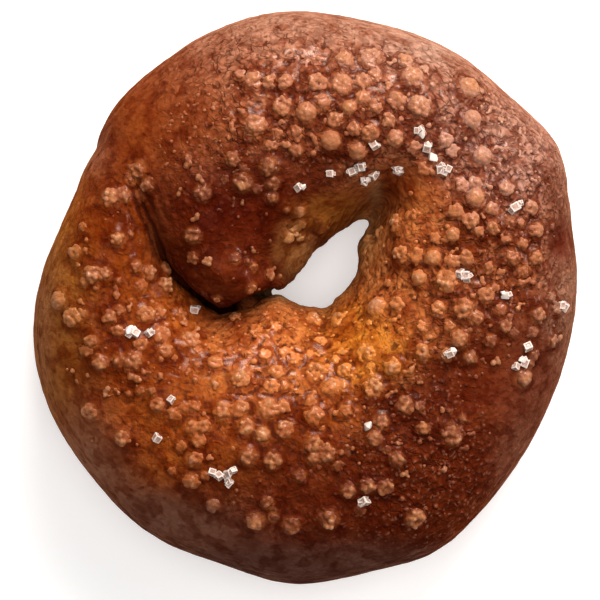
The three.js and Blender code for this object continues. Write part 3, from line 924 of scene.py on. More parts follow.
TONE_SPOTS = (
    ToneSpot(0, 47, 26, 10, Tone.ROSE_TAN, 1.0, 0.8),
    # The top rim: pinkish tones with painted sheen.
    ToneSpot(2, 54, 24, 6, Tone.SIENNA, 1.6),
    ToneSpot(24, 50, 13, 5, Tone.DUSTY_PINK, 1.6),
    ToneSpot(4, 55.5, 14, 4, Tone.DUSTY_PINK, 0.9),
    ToneSpot(9, 36, 16, 9, Tone.RUSSET, 1.0, 0.9),
    ToneSpot(-21, 35, 12, 10, Tone.RUSSET, 0.8, 0.9),
    ToneSpot(-27, 45, 6, 5, Tone.AMBER, 0.9, 0.4),
    ToneSpot(-31, 36, 12, 7, Tone.AMBER, 2.6, 0.2),
    # Painted sheen on the upper left rim.
    ToneSpot(-43, 36, 4, 9, Tone.SIENNA, 1.0, 0.2),
    ToneSpot(-44, 17, 4, 6, Tone.GINGER, 0.9, 0.3),
    # The left rim, grey-brown with painted sheen.
    ToneSpot(-52, -6, 3, 16, Tone.FAWN, 0.9, 0.3),
    ToneSpot(-13, 17, 15, 9, Tone.MAHOGANY, 1.6, 0.35),
    ToneSpot(-17, 6, 8, 7, Tone.OXBLOOD, 1.4, 0.3),
    ToneSpot(-10, 4, 5, 3, Tone.CHESTNUT, 2.0, 0.2),
    ToneSpot(-2.4, 8.2, 2.6, 4, Tone.KHAKI, 4.0, 0.2),
    ToneSpot(-29, 10, 1.8, 8, Tone.TAUPE, 1.6, 0.1),
    ToneSpot(6, 16, 7, 2.6, Tone.OLIVE, 2.4, 0.2),
    ToneSpot(-38, 10, 9, 15, Tone.AMBER, 1.0, 0.4),
    ToneSpot(-49, 0, 5, 22, Tone.OLIVE, 1.6, 0.3),
    ToneSpot(-28, -1, 6, 9, Tone.GINGER, 1.0, 0.5),
    ToneSpot(-37, -18, 12, 13, Tone.AMBER, 1.0, 0.4),
    ToneSpot(-36, -24, 7, 6, Tone.GINGER, 0.5, 0.3),
    ToneSpot(-21, -28, 10, 10, Tone.GINGER, 0.8, 0.4),
    # The lower left rim, grey-brown with painted sheen.
    ToneSpot(-45, -33, 7, 10, Tone.FAWN, 1.6, 0.3),
    ToneSpot(-3, -10, 12, 8, Tone.APRICOT, 1.3, 0.65),
    ToneSpot(9, -9, 7, 6, Tone.HONEY, 1.6, 0.4),
    ToneSpot(3, -24, 7, 7, Tone.GINGER, 0.8, 0.5),
    ToneSpot(-2, -36, 16, 9, Tone.OXBLOOD, 1.2, 0.4),
    ToneSpot(-4, -55.5, 34, 4.6, Tone.UMBER, 2.0, 0.3),
    ToneSpot(-28, -44.5, 12, 4.5, Tone.DUSK, 2.2, 0.3),
    ToneSpot(25, -31, 14, 13, Tone.OXBLOOD, 1.0, 0.8),
    # The lower right rim, grey-brown with painted sheen.
    ToneSpot(45, -31, 6, 16, Tone.FAWN, 1.2, 0.3),
    ToneSpot(41, -20, 9, 11, Tone.OXBLOOD, 2.4, 0.3),
    # The right rim, grey-brown with painted sheen.
    ToneSpot(52, 0, 4, 20, Tone.FAWN, 1.4),
    ToneSpot(31, 7, 13, 10, Tone.RUSSET, 1.2, 0.9),
    ToneSpot(20, 8, 8, 11, Tone.APRICOT, 2.2, 0.5),
    ToneSpot(12.8, 11, 2.6, 5, Tone.KHAKI, 2.4, 0.2),
    ToneSpot(15, 19.5, 3, 3, Tone.TAUPE, 1.2, 0.2),
    ToneSpot(21, 21, 5, 5, Tone.GINGER, 2.0, 0.2),
    # The upper right: pink-brown tones with painted sheen.
    ToneSpot(36, 34, 14, 12, Tone.BLUSH, 1.3, 1.0),
    ToneSpot(38, 42, 10, 7, Tone.SIENNA, 1.4, 0.8),
    # The pit on the right rim: near-black painted shade over a shallow dent.
    ToneSpot(50.6, 10.8, 1.8, 2.8, Tone.MAHOGANY, 9.0, 0.3),
)


def blended_tone(places: np.ndarray) -> tuple[np.ndarray, np.ndarray]:
    """The crust's tone at plan places, and how wrinkled it is there.

    Args:
        places: plan places in millimetres, two to a row.

    Returns:
        A colour and a share from 0 to 1 for each place.
    """
    background, background_wrinkled = 0.02, 0.6
    total = np.full(len(places), background)
    colour = background * np.tile(Tone.CHESTNUT.value, (len(places), 1))
    wrinkled = background * np.full(len(places), background_wrinkled)
    for spot in TONE_SPOTS:
        share = spot.share(places)
        total += share
        colour += share[:, None] * np.array(spot.tone.value)
        wrinkled += share * spot.wrinkled
    return colour / total[:, None], wrinkled / total


# The crust


@dataclass(kw_only=True)
class Crust(Piece):
    """The baked skin of the whole bagel. It stands for the solid."""

    rope: Rope
    name: str = "crust"
    section_sides: int = 160
    ring_step: float = 0.9
    end_rings: int = 16
    voxel: float = 0.54
    smoothing: float = 0.5
    smoothing_rounds: int = 3
    base_edge: float = 0.9
    fold: Triple = (-9.1, 0.1, 11.5)
    fold_size: Triple = (2.2, 1.9, 4.5)
    plain_sides: Pair = (-0.05, 0.36)
    plain_base: Pair = (-0.95, 0.05)

    def shape(self) -> None:
        """Draws a sphere out along the rope, joins its lapped ends and flattens its base."""
        rings = self.ring_lengths()
        rows = len(rings) + 1
        bpy.ops.object.select_all(action="DESELECT")
        bpy.ops.mesh.primitive_uv_sphere_add(segments=self.section_sides, ring_count=rows)
        obj = bpy.context.object
        obj.name = self.name
        points = points_of(obj)
        row = np.rint(np.arccos(np.clip(points[:, 2], -1, 1)) / math.pi * rows).astype(int)
        turn = np.arctan2(points[:, 1], points[:, 0])
        inner = (row > 0) & (row < rows)
        placed = np.empty_like(points)
        placed[inner] = self.rope.skin(rings[row[inner] - 1], turn[inner])
        for end, length in ((0, 0.0), (rows, self.rope.length)):
            both = self.rope.skin(np.array([length, length]), np.array([math.pi / 2, -math.pi / 2]))
            placed[row == end] = both.mean(axis=0)
        move_points(obj, placed)
        self.fold_under(obj)
        finish_with(obj, "REMESH", mode="VOXEL", voxel_size=self.voxel)
        finish_with(obj, "SMOOTH", factor=self.smoothing, iterations=self.smoothing_rounds)
        points = points_of(obj)
        share = np.clip(0.5 + 0.5 * points[:, 2] / self.base_edge, 0.0, 1.0)
        points[:, 2] = points[:, 2] * share + self.base_edge * share * (1.0 - share)
        move_points(obj, points)
        self.obj = obj
        for facing, kept in (self.plain_sides, self.plain_base):
            self.thin_out(facing, kept)

    def fold_under(self, obj: Object) -> None:
        """Joins the bit of dough that closes the hole's narrow tail under the lapped end.

        Args:
            obj: the dough.
        """
        bpy.ops.object.select_all(action="DESELECT")
        bpy.ops.mesh.primitive_uv_sphere_add(
            segments=24, ring_count=16, location=self.fold, scale=self.fold_size
        )
        obj.select_set(True)
        bpy.context.view_layer.objects.active = obj
        bpy.ops.object.join()

    def thin_out(self, facing: float, kept: float) -> None:
        """Merges faces whose way has an upward part below facing, and keeps a share of them."""
        ways = rows_of(self.obj.data.polygon_normals, "vector")
        merge_faces(self.obj, ways[:, 2] < facing, kept)

    def ring_lengths(self) -> np.ndarray:
        """Where the rings stand along the rope, closer together in its rounded ends.

        Returns:
            Lengths along the rope's middle.
        """
        rope = self.rope
        share = 1 - np.cos(np.arange(1, self.end_rings + 1) / (self.end_rings + 1) * math.pi / 2)
        first = rope.first_end_length * share
        last = rope.length - rope.last_end_length * share[::-1]
        middle = np.arange(rope.first_end_length, rope.length - rope.last_end_length, self.ring_step)
        return np.concatenate([first, middle, last])

    def work_relief(self, salt: Salt) -> None:
        """Raises the blisters, wrinkles and mounds of the crust and cuts the seam.

        Args:
            salt: where the salt lies.
        """
        points, normals = points_of(self.obj), normals_of(self.obj)
        relief = Relief(points, normals, salt)
        move_points(self.obj, points + normals * relief.height[:, None])
        worked = points_of(self.obj)
        worked[:, 2] = np.maximum(worked[:, 2], 0.0)
        worked[relief.flat, 2] = 0.0
        move_points(self.obj, worked)
        for name, values in relief.marks(hollows_of(self.obj)).items():
            write_marks(self.obj, name, values)

    def dress(self, shift: Vector) -> None:
        """Settles the crust in its finish, in the solid's place."""
        self.settle(CrustFinish().make(), shift)
        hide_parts(NODE)


# The seam between the lapped ends, from its upper end to the hole.
SEAM_LINE = (
    (-34.3, 23.7), (-32.7, 20.3), (-31.3, 16.1), (-30.2, 13.9), (-29.3, 11.1), (-28.3, 7.5),
    (-26.7, 4.9), (-24.7, 2.9), (-22.3, 0.4), (-19.8, -1.5), (-17.3, -3.1), (-14.9, -2.7),
    (-12.9, -1.5), (-10.9, -0.5), (-8.1, 0.6), (-6.9, 1.1),
)


@dataclass
class Seam:
    """The groove where the rope's ends are lapped: closed at its upper end, and open towards the hole.

    A pair that tells where something begins holds where it is nothing and where it is whole.
    """

    points: np.ndarray
    depth: float = 2.0
    half_width: float = 0.62
    closed: float = 0.2
    lip: float = 1.15
    lip_at: float = 1.9
    lip_width: float = 1.25
    lip_ends: float = 0.85
    edge: float = 0.35
    edge_at: float = 0.7
    edge_width: float = 0.4
    edge_fades: Pair = (0.5, 0.7)
    shoulder: float = 0.8
    top_begins: Pair = (12.0, 22.0)
    line_begins: Pair = (0.0, 0.15)
    opening_begins: Pair = (0.27, 0.52)
    stretch: float = 0.22
    stretch_length: float = 1.9
    stretch_reach: float = 5.0
    stretch_at: float = 0.12

    def __post_init__(self) -> None:
        """Finds where the points lie beside the seam."""
        self.gap, self.along, self.side = nearest_on(SEAM_LINE, self.points[:, :2])
        self.top = smooth(*self.top_begins, self.points[:, 2])
        self.shown = smooth(*self.line_begins, self.along) * self.top
        self.open = self.closed + (1.0 - self.closed) * smooth(*self.opening_begins, self.along)

    def banks(self) -> np.ndarray:
        """How far the skin rises beside the groove.

        Returns:
            A height for each point.
        """
        bank = np.exp(-(((self.gap - self.lip_at) / self.lip_width) ** 2)) * self.open
        outer = (self.side < 0) & (self.along < self.lip_ends)
        edge = self.edge * np.exp(-(((self.gap - self.edge_at) / self.edge_width) ** 2))
        edge *= 1.0 - smooth(*self.edge_fades, self.along)
        return self.shown * np.where(outer, self.lip * bank + edge, self.shoulder * bank)

    def height(self) -> np.ndarray:
        """The groove, its banks and the stretched skin at its upper end.

        Returns:
            A height for each point.
        """
        depth = self.depth * self.open * self.shown * np.exp(-((self.gap / self.half_width) ** 2))
        folds = np.sin(self.gap * 2 * math.pi / self.stretch_length)
        folds *= np.exp(-((self.gap / self.stretch_reach) ** 2))
        folds *= np.exp(-(((self.along - self.stretch_at) / self.stretch_at) ** 2)) * self.top
        return self.banks() - depth + self.stretch * folds

    def crevice_shade(self) -> np.ndarray:
        """How much painted shade lies in the groove, widest under the tip of the upper end.

        Returns:
            A share from 0 to 1 for each point.
        """
        narrow, widening, closed_dark = 0.75, 0.55, 0.1
        wide = narrow + widening * smooth(0.5, 0.7, self.along)
        painted_shade = np.exp(-((self.gap / wide) ** 2)) * smooth(0.02, 0.2, self.along)
        return painted_shade * (closed_dark + (1.0 - closed_dark) * self.open)


# Where the skin is pale and bare of glaze.
UNDERSKIN = (
    ToneSpot(-5.0, 0.2, 2.6, 1.2, Tone.CREAM),
    ToneSpot(0.5, -1.4, 2.4, 0.9, Tone.CREAM, 0.5),
    ToneSpot(13.6, 20.5, 1.2, 2.4, Tone.CREAM, 0.4),
    ToneSpot(11.5, 11.5, 1.1, 2.6, Tone.CREAM, 0.4),
)


@dataclass
class Relief:
    """The low relief of the crust, and what its materials need to know of it."""

    points: np.ndarray
    normals: np.ndarray
    salt: Salt
    blister: float = 0.22
    blister_size: float = 3.4
    pebble: float = 0.60
    pebble_size: float = 1.7
    wrinkle: float = 0.32
    wrinkle_size: float = 1.9
    warp: float = 0.9
    warp_size: float = 2.6
    streak: float = 0.14
    streak_size: float = 1.8
    streak_turns: float = 9.0
    streak_packing: float = 1.1
    ruffle: float = 0.50
    ruffle_size: float = 3.0
    ruffle_stretch: Triple = (1.0, 1.0, 0.4)
    hole: Pair = (4.0, 5.0)
    wall: Pair = (4.0, 6.0)
    wall_bare: float = 0.25
    mound: float = 0.40
    mound_reach: float = 1.45
    lobe_tone: float = 0.55
    side_tone: float = 0.7
    pit: Pair = (50.4, 10.8)
    pit_size: Pair = (1.7, 2.6)
    pit_depth: float = 0.9
    base_height: float = 0.02
    hollow_gain: float = 5.0

    def __post_init__(self) -> None:
        """Works out the tones and the relief."""
        points, facing_up = self.points, self.normals[:, 2]
        self.flat = points[:, 2] < self.base_height
        self.tone, self.wrinkled = blended_tone(points[:, :2])
        self.upper = smooth(-0.05, 0.45, facing_up)
        self.side = 1.0 - smooth(-0.25, 0.3, facing_up)
        self.seam = Seam(points)
        lobe = (self.seam.side > 0) * (1.0 - smooth(3.0, 9.0, self.seam.gap))
        self.tint(Tone.MAHOGANY, self.lobe_tone * (lobe * smooth(0.0, 0.2, self.seam.along)))
        self.tint(Tone.BUN, self.side_tone * self.side)
        self.near_salt, mounds = self.nearness()
        pit = np.exp(-(((points[:, :2] - self.pit) / self.pit_size) ** 2).sum(axis=1))
        pit *= smooth(8.0, 16.0, points[:, 2])
        self.height = self.skin_height() + self.seam.height() + mounds - self.pit_depth * pit
        self.height *= np.where(self.flat, 0.0, 1.0)

    def tint(self, tone: Tone, share: np.ndarray) -> None:
        """Brings each vertex's tone nearer to another by a share."""
        self.tone += (np.array(tone.value) - self.tone) * share[:, None]

    def nearness(self) -> tuple[np.ndarray, np.ndarray]:
        """Finds how the vertices lie by the lumps of salt.

        Returns:
            How near each vertex is to a lump, 1 at its middle, and the height of the mound there.
        """
        near = np.zeros(len(self.points))
        mounds = np.zeros(len(self.points))
        for lump in self.salt.lumps:
            gap = np.linalg.norm(self.points - np.array(lump.foot.point), axis=1)
            share = np.exp(-((gap / (self.mound_reach * lump.radius)) ** 3))
            near = np.maximum(near, share)
            mounds = np.maximum(mounds, self.mound * lump.radius * share)
        return near, mounds

    def skin_height(self) -> np.ndarray:
        """Blisters, pebbles and wrinkles on top, fine streaks along the sides and ruffles in the hole.

        Returns:
            A height for each vertex.
        """
        points, wrinkled = self.points, self.wrinkled * self.upper
        x, y, z = points.T
        blisters = layered(points, self.blister_size, Seed.BLISTERS)
        shifts = [cloud(points, self.warp_size, Seed.WARP + i) for i in range(3)]
        bent = points + self.warp * np.stack(shifts, axis=1)
        first, second = pebbles(bent, self.pebble_size, Seed.PEBBLES)
        grains = np.clip(second - first, 0.0, 0.5) - 0.2
        ridges = 0.5 - np.abs(cloud(bent, self.wrinkle_size, Seed.WRINKLES)) * 1.6
        radius, around = np.hypot(x, y), np.arctan2(y, x)
        run = (radius * self.streak_packing, around * self.streak_turns, z * self.streak_packing)
        streaks = cloud(np.stack(run, axis=1), self.streak_size, Seed.STREAKS)
        sides = (1.0 - self.upper) * smooth(0.5, 4.0, z)
        in_hole = 1.0 - smooth(10.0, 14.0, np.hypot(x - self.hole[0], y - self.hole[1]))
        in_hole *= smooth(6.0, 14.0, z) * (1.0 - smooth(30.0, 36.0, z))
        ruffles = layered(points * self.ruffle_stretch, self.ruffle_size, Seed.RUFFLES)
        height = self.blister * blisters * (0.5 + 0.5 * self.wrinkled) + self.ruffle * ruffles * in_hole
        height += wrinkled * (self.pebble * grains + self.wrinkle * ridges)
        return height + self.streak * streaks * sides

    def dullness(self) -> np.ndarray:
        """How dull the glaze is: it ran thin on the sides, most of all at the lower left.

        Returns:
            A share from 0 to 1 for each vertex.
        """
        lower_left = smooth(-15.0, 35.0, -(0.6 * self.points[:, 0] + 0.8 * self.points[:, 1]))
        steep = 1.0 - smooth(0.66, 0.94, self.normals[:, 2])
        slope = 1.0 - smooth(0.36, 0.76, self.normals[:, 2])
        return np.maximum(slope, steep * lower_left)

    def marks(self, hollows: np.ndarray) -> dict[str, np.ndarray]:
        """What the materials read, by name.

        Args:
            hollows: how far each vertex lies below its neighbours.

        Returns:
            The tone and the shares from 0 to 1, for each vertex.
        """
        plan, height = self.points[:, :2], self.points[:, 2]
        bare = np.maximum.reduce([np.zeros(len(plan)), *(spot.share(plan) for spot in UNDERSKIN)])
        in_hole = 1.0 - smooth(12.0, 17.0, np.hypot(plan[:, 0] - self.wall[0], plan[:, 1] - self.wall[1]))
        wall = in_hole * (1.0 - smooth(14.0, 26.0, height))
        return {
            "tone": self.tone,
            "wrinkled": self.wrinkled * self.upper,
            "hollow": np.clip(hollows * self.hollow_gain, -1.0, 1.0),
            # Painted shade in the seam's groove and on the dough that closes the hole's tail.
            "crevice_shade": self.seam.crevice_shade() * smooth(6.0, 18.0, height),
            "bare": np.clip(np.maximum(bare, self.wall_bare * wall), 0.0, 1.0),
            "salted": self.near_salt,
            "rim": 1.0 - smooth(0.1, 0.66, self.normals[:, 2]),
            "side": self.side,
            "dull": self.dullness(),
            "underside": 1.0 - smooth(0.0, 3.5, height),
        }


# The salt


UP = Vector((0, 0, 1))

# Where the glaze lies thick over the lumps: x, y, reach and share.
GLAZE_SPOTS = (
    (41.0, 6.0, 9.0, 0.65), (27.5, 19.0, 8.0, 0.45), (-21.0, 13.0, 9.0, 0.25), (-30.0, -15.0, 5.0, 0.30),
    (-3.0, 24.0, 9.0, 0.35), (45.0, -6.0, 6.0, 0.35), (0.0, -50.0, 16.0, 0.15), (34.0, 31.0, 14.0, 0.72),
    (5.0, 38.0, 17.0, 0.50), (22.0, -27.0, 9.0, 0.20), (-49.0, 0.0, 7.0, 0.50), (48.0, 10.0, 14.0, 0.65),
    (0.0, -12.0, 12.0, 0.35),
)


def thick_glaze(points: np.ndarray) -> np.ndarray:
    """How thick the glaze lies over the lumps.

    Args:
        points: places in millimetres, three to a row.

    Returns:
        A share from 0 to 1 for each place.
    """
    thick = np.zeros(len(points))
    for x, y, reach, share in GLAZE_SPOTS:
        gap = np.hypot(points[:, 0] - x, points[:, 1] - y)
        thick = np.maximum(thick, share * np.exp(-((gap / reach) ** 2)))
    return thick


@dataclass(frozen=True)
class Nodule:
    """One rounded knob of a lump."""

    middle: Vector
    upright: Vector
    radius: float
    flatness: float


@dataclass(kw_only=True)
class GlazedSalt(Piece):
    """Salt that has sunk under the glaze, as one skin over many knobs.

    The knobs' sizes are shares of their lump's radius, and a count is the fewest and how many more.
    """

    salt: Salt
    probe: Probe
    draws: Draws
    voxel: float
    smoothing: float = 0.5
    smoothing_rounds: int = 1
    sunk_depth: float = 0.35
    sunk_kept: float = 0.12
    granule: float = 0.36
    granule_size: float = 1.0
    uneven: float = 0.08
    uneven_size: float = 0.8
    uneven_layers: int = 2
    hollow_gain: float = 6.0
    knob_count: tuple[int, int] = (11, 6)
    knob_aside: Pair = (0.02, 0.85)
    knob_rise: Pair = (0.42, 0.44)
    knob_unevenness: Pair = (-0.10, 0.08)
    knob_radius: Pair = (0.14, 0.28)
    knob_least: float = 0.20
    knob_flatness: float = 0.9

    def nodules(self) -> list[Nodule]:
        """The knobs that the skin goes over."""
        raise NotImplementedError

    def knob(self) -> Shape:
        """Models one knob of radius 1.

        Returns:
            Its vertices and its faces.
        """
        bpy.ops.object.select_all(action="DESELECT")
        bpy.ops.mesh.primitive_ico_sphere_add(subdivisions=2, radius=1.0)
        return take_apart(bpy.context.object)

    def aside(self, upright: Vector, turn: float, reach: float) -> Vector:
        """A step of a length along the crust, at a turn round the way that it faces."""
        return UP.rotation_difference(upright) @ Vector((math.cos(turn), math.sin(turn), 0)) * reach

    def knobs_over(self, lump: Lump, upright: Vector, start: float, lift: Vector) -> list[Nodule]:
        """The small knobs over a lump of many grains, lower towards its edge.

        Args:
            lump: the lump.
            upright: the way that it stands.
            start: the turn of its first knob.
            lift: how far all of it is raised.

        Returns:
            The knobs.
        """
        draws, radius = self.draws, lump.radius
        fewest, more = self.knob_count
        top, drop = self.knob_rise
        made = []
        for i in range(fewest + int(more * draws.next())):
            share = math.sqrt(draws.between(*self.knob_aside))
            aside = self.aside(upright, start + GOLDEN_ANGLE * i, radius * share)
            rise = radius * (top - drop * share * share + draws.between(*self.knob_unevenness))
            size = self.knob_least + radius * draws.between(*self.knob_radius)
            middle = lump.foot.point + aside + lift + upright * rise
            made.append(Nodule(middle, upright, size, self.knob_flatness))
        return made

    def shape(self) -> None:
        """Models the knobs as one skin."""
        knob, knob_faces = self.knob()
        points, faces = [], []
        for i, nodule in enumerate(self.nodules()):
            turn = UP.rotation_difference(nodule.upright).to_matrix()
            flatten = Matrix.Diagonal((nodule.radius, nodule.radius, nodule.radius * nodule.flatness))
            bank = float(Seam(np.array([nodule.middle])).banks()[0])
            middle = nodule.middle + nodule.upright * bank
            points.append(knob @ np.array(turn @ flatten).T + np.array(middle))
            faces.append(np.array(knob_faces) + i * len(knob))
        self.obj = new_mesh_object(self.name, np.vstack(points), np.vstack(faces))
        finish_with(self.obj, "REMESH", mode="VOXEL", voxel_size=self.voxel)
        finish_with(self.obj, "SMOOTH", factor=self.smoothing, iterations=self.smoothing_rounds)

    def above(self, tree: BVHTree) -> np.ndarray:
        """How far each vertex stands above the crust.

        Args:
            tree: the crust.

        Returns:
            A height in millimetres for each vertex, below 0 where it lies in the crust.
        """
        points = points_of(self.obj)
        above = np.zeros(len(points))
        for i, point in enumerate(points):
            place, normal, _, _ = tree.find_nearest(Vector(point))
            above[i] = (Vector(point) - place).dot(normal)
        return above

    def roughen(self, crust: Object) -> None:
        """Gives the lumps a granular skin and notes what the materials read.

        Args:
            crust: the finished crust, in the same place.
        """
        tree = tree_of(crust)
        self.thin_sunk(self.above(tree) < -self.sunk_depth)
        points, normals = points_of(self.obj), normals_of(self.obj)
        first, _ = pebbles(points, self.granule_size, Seed.GRANULES)
        uneven = layered(points, self.uneven_size, Seed.UNEVEN, self.uneven_layers)
        height = self.granule * (0.5 - first) + self.uneven * uneven
        move_points(self.obj, points + normals * height[:, None])
        tone, _ = blended_tone(points[:, :2])
        write_marks(self.obj, "tone", tone)
        write_marks(self.obj, "above", self.above(tree))
        write_marks(self.obj, "hollow", np.clip(hollows_of(self.obj) * self.hollow_gain, -1.0, 1.0))
        write_marks(self.obj, "shade", self.shades(points))
        write_marks(self.obj, "glazed", thick_glaze(points))

    def thin_sunk(self, sunk: np.ndarray) -> None:
        """Merges the faces that lie deep in the crust, where none are seen.

        Args:
            sunk: whether each vertex lies deep.
        """
        mesh = self.obj.data
        corners = np.empty(len(mesh.loops), np.int32)
        mesh.loops.foreach_get("vertex_index", corners)
        starts = np.empty(len(mesh.polygons), np.int32)
        mesh.polygons.foreach_get("loop_start", starts)
        merge_faces(self.obj, np.logical_and.reduceat(sunk[corners], starts), self.sunk_kept)

    def shades(self, points: np.ndarray) -> np.ndarray:
        """A shade for each vertex, the same one all over a lump.

        Args:
            points: the vertices' places.

        Returns:
            A share from 0 to 1 for each vertex.
        """
        own = np.array([lump.foot.point[:2] for lump in self.salt.lumps])
        shade = np.zeros(len(points))
        batch = 4096
        for start in range(0, len(points), batch):
            part = slice(start, start + batch)
            gap = np.linalg.norm(points[part, None, :2] - own[None, :, :], axis=2)
            nearest = gap.argmin(axis=1)
            cells = np.stack([nearest, nearest * 0, nearest * 0], axis=1)
            shade[part] = hashed(cells, Seed.SHADES)
        return shade

    def dress(self, skin: Material, shift: Vector) -> None:
        """Settles the piece in the finish that all glazed salt has."""
        self.settle(skin, shift)


@dataclass(kw_only=True)
class SaltLumps(GlazedSalt):
    """The lumps: single balls, and clumps of many grains."""

    name: str = "salt_lumps"
    voxel: float = 0.25
    uprightness: float = 0.4
    raised: float = 0.12
    ball_radius: float = 1.04
    ball_flatness: float = 0.74
    core_turn: Pair = (-0.3, 0.3)
    core_aside: Pair = (0.25, 0.55)
    core_radius: Pair = (0.5, 0.72)
    core_flatness: float = 0.78
    core_count: tuple[int, int] = (3, 2)

    def nodules(self) -> list[Nodule]:
        """The knobs of all lumps."""
        balls = [self.of_ball(lump) for lump in self.salt.balls]
        return balls + [knob for lump in self.salt.clumps for knob in self.of_clump(lump)]

    def upright(self, lump: Lump) -> Vector:
        """The way that a lump stands, between the crust's and straight up."""
        return (lump.foot.normal + UP * self.uprightness).normalized()

    def of_ball(self, lump: Lump) -> Nodule:
        """Shapes a smooth lump.

        Args:
            lump: the lump.

        Returns:
            Its one knob.
        """
        normal = self.upright(lump)
        middle = lump.foot.point + normal * self.raised * lump.radius
        return Nodule(middle, normal, self.ball_radius * lump.radius, self.ball_flatness)

    def of_clump(self, lump: Lump) -> list[Nodule]:
        """The knobs of a clump: a few wide ones and many small ones over them.

        Args:
            lump: the clump.

        Returns:
            Its knobs.
        """
        draws, foot, radius = self.draws, lump.foot, lump.radius
        normal = self.upright(lump)
        made = []
        lift = normal * self.raised * radius
        start = 2 * math.pi * draws.next()
        fewest, more = self.core_count
        cores = fewest + int(more * draws.next())
        for i in range(cores):
            turn = start + 2 * math.pi * (i + draws.between(*self.core_turn)) / cores
            aside = self.aside(normal, turn, radius * draws.between(*self.core_aside))
            size = radius * draws.between(*self.core_radius)
            made.append(Nodule(foot.point + aside + lift, normal, size, self.core_flatness))
        return made + self.knobs_over(lump, normal, start, lift)


@dataclass(kw_only=True)
class SaltGrains(GlazedSalt):
    """Small lumps, and grains and beads between the lumps and a little beyond them."""

    name: str = "salt_grains"
    voxel: float = 0.24
    granule: float = 0.14
    granule_size: float = 0.8
    grain_radius: Pair = (0.32, 0.66)
    grain_apart: Pair = (0.6, 1.5)
    grain_sunk: Pair = (-0.2, 0.25)
    grain_flatness: Pair = (0.6, 0.9)
    heaped: float = 0.05
    bunch_more: float = 5.5
    bead_radius: Pair = (0.28, 0.52)
    bead_sunk: Pair = (-0.3, 0.1)
    bead_flatness: Pair = (0.7, 0.95)
    largest_single: float = 0.75
    single_raised: float = 0.15
    single_flatness: float = 0.85
    core_raised: float = 0.1
    core_radius: float = 0.72
    core_flatness: float = 0.75
    knob_count: tuple[int, int] = (7, 4)
    knob_aside: Pair = (0.05, 1.0)
    knob_rise: Pair = (0.5, 0.4)
    knob_unevenness: Pair = (-0.08, 0.08)
    knob_radius: Pair = (0.28, 0.45)
    knob_least: float = 0.0
    knob_flatness: float = 0.85

    def nodules(self) -> list[Nodule]:
        """Strews the small lumps, the grains and the beads.

        Returns:
            The knobs of all of them.
        """
        draws = self.draws
        made = [knob for lump in self.salt.small for knob in self.of_small(lump)]
        for patch in GRAIN_PATCHES:
            for _ in range(patch.bunches):
                place = self.within(patch)
                made += self.bunch(place, 1 + int(self.bunch_more * draws.next() ** 2))
            for _ in range(patch.beads):
                radius = draws.between(*self.bead_radius)
                foot = self.probe.under(*self.within(patch))
                if foot:
                    middle = foot.point + foot.normal * draws.between(*self.bead_sunk) * radius
                    flatness = draws.between(*self.bead_flatness)
                    made.append(Nodule(middle, foot.normal, radius, flatness))
        return made

    def within(self, patch: GrainPatch) -> Pair:
        """Draws a plan place somewhere in a patch.

        Args:
            patch: the patch.

        Returns:
            The place.
        """
        reach = math.sqrt(self.draws.next())
        turn = 2 * math.pi * self.draws.next()
        x = patch.x + patch.wide * reach * math.cos(turn)
        return x, patch.y + patch.deep * reach * math.sin(turn)

    def of_small(self, lump: Lump) -> list[Nodule]:
        """The knobs of a small lump: one, or a few that touch.

        Args:
            lump: the small lump.

        Returns:
            Its knobs.
        """
        foot, radius = lump.foot, lump.radius
        if radius < self.largest_single:
            middle = foot.point + foot.normal * self.single_raised * radius
            return [Nodule(middle, foot.normal, radius, self.single_flatness)]
        core = foot.point + foot.normal * self.core_raised * radius
        made = [Nodule(core, foot.normal, self.core_radius * radius, self.core_flatness)]
        start = 2 * math.pi * self.draws.next()
        return made + self.knobs_over(lump, foot.normal, start, Vector())

    def bunch(self, place: Pair, count: int) -> list[Nodule]:
        """A few grains that touch.

        Args:
            place: the plan place that they lie round.
            count: how many grains to strew.

        Returns:
            The grains that have crust under them.
        """
        draws = self.draws
        x, y = place
        made = []
        for _ in range(count):
            radius = draws.between(*self.grain_radius)
            turn = 2 * math.pi * draws.next()
            apart = 0.0 if count == 1 else draws.between(*self.grain_apart) * radius
            foot = self.probe.under(x + apart * math.cos(turn), y + apart * math.sin(turn))
            if foot:
                rise = draws.between(*self.grain_sunk) * radius + self.heaped * count
                flatness = draws.between(*self.grain_flatness)
                made.append(Nodule(foot.point + foot.normal * rise, foot.normal, radius, flatness))
        return made


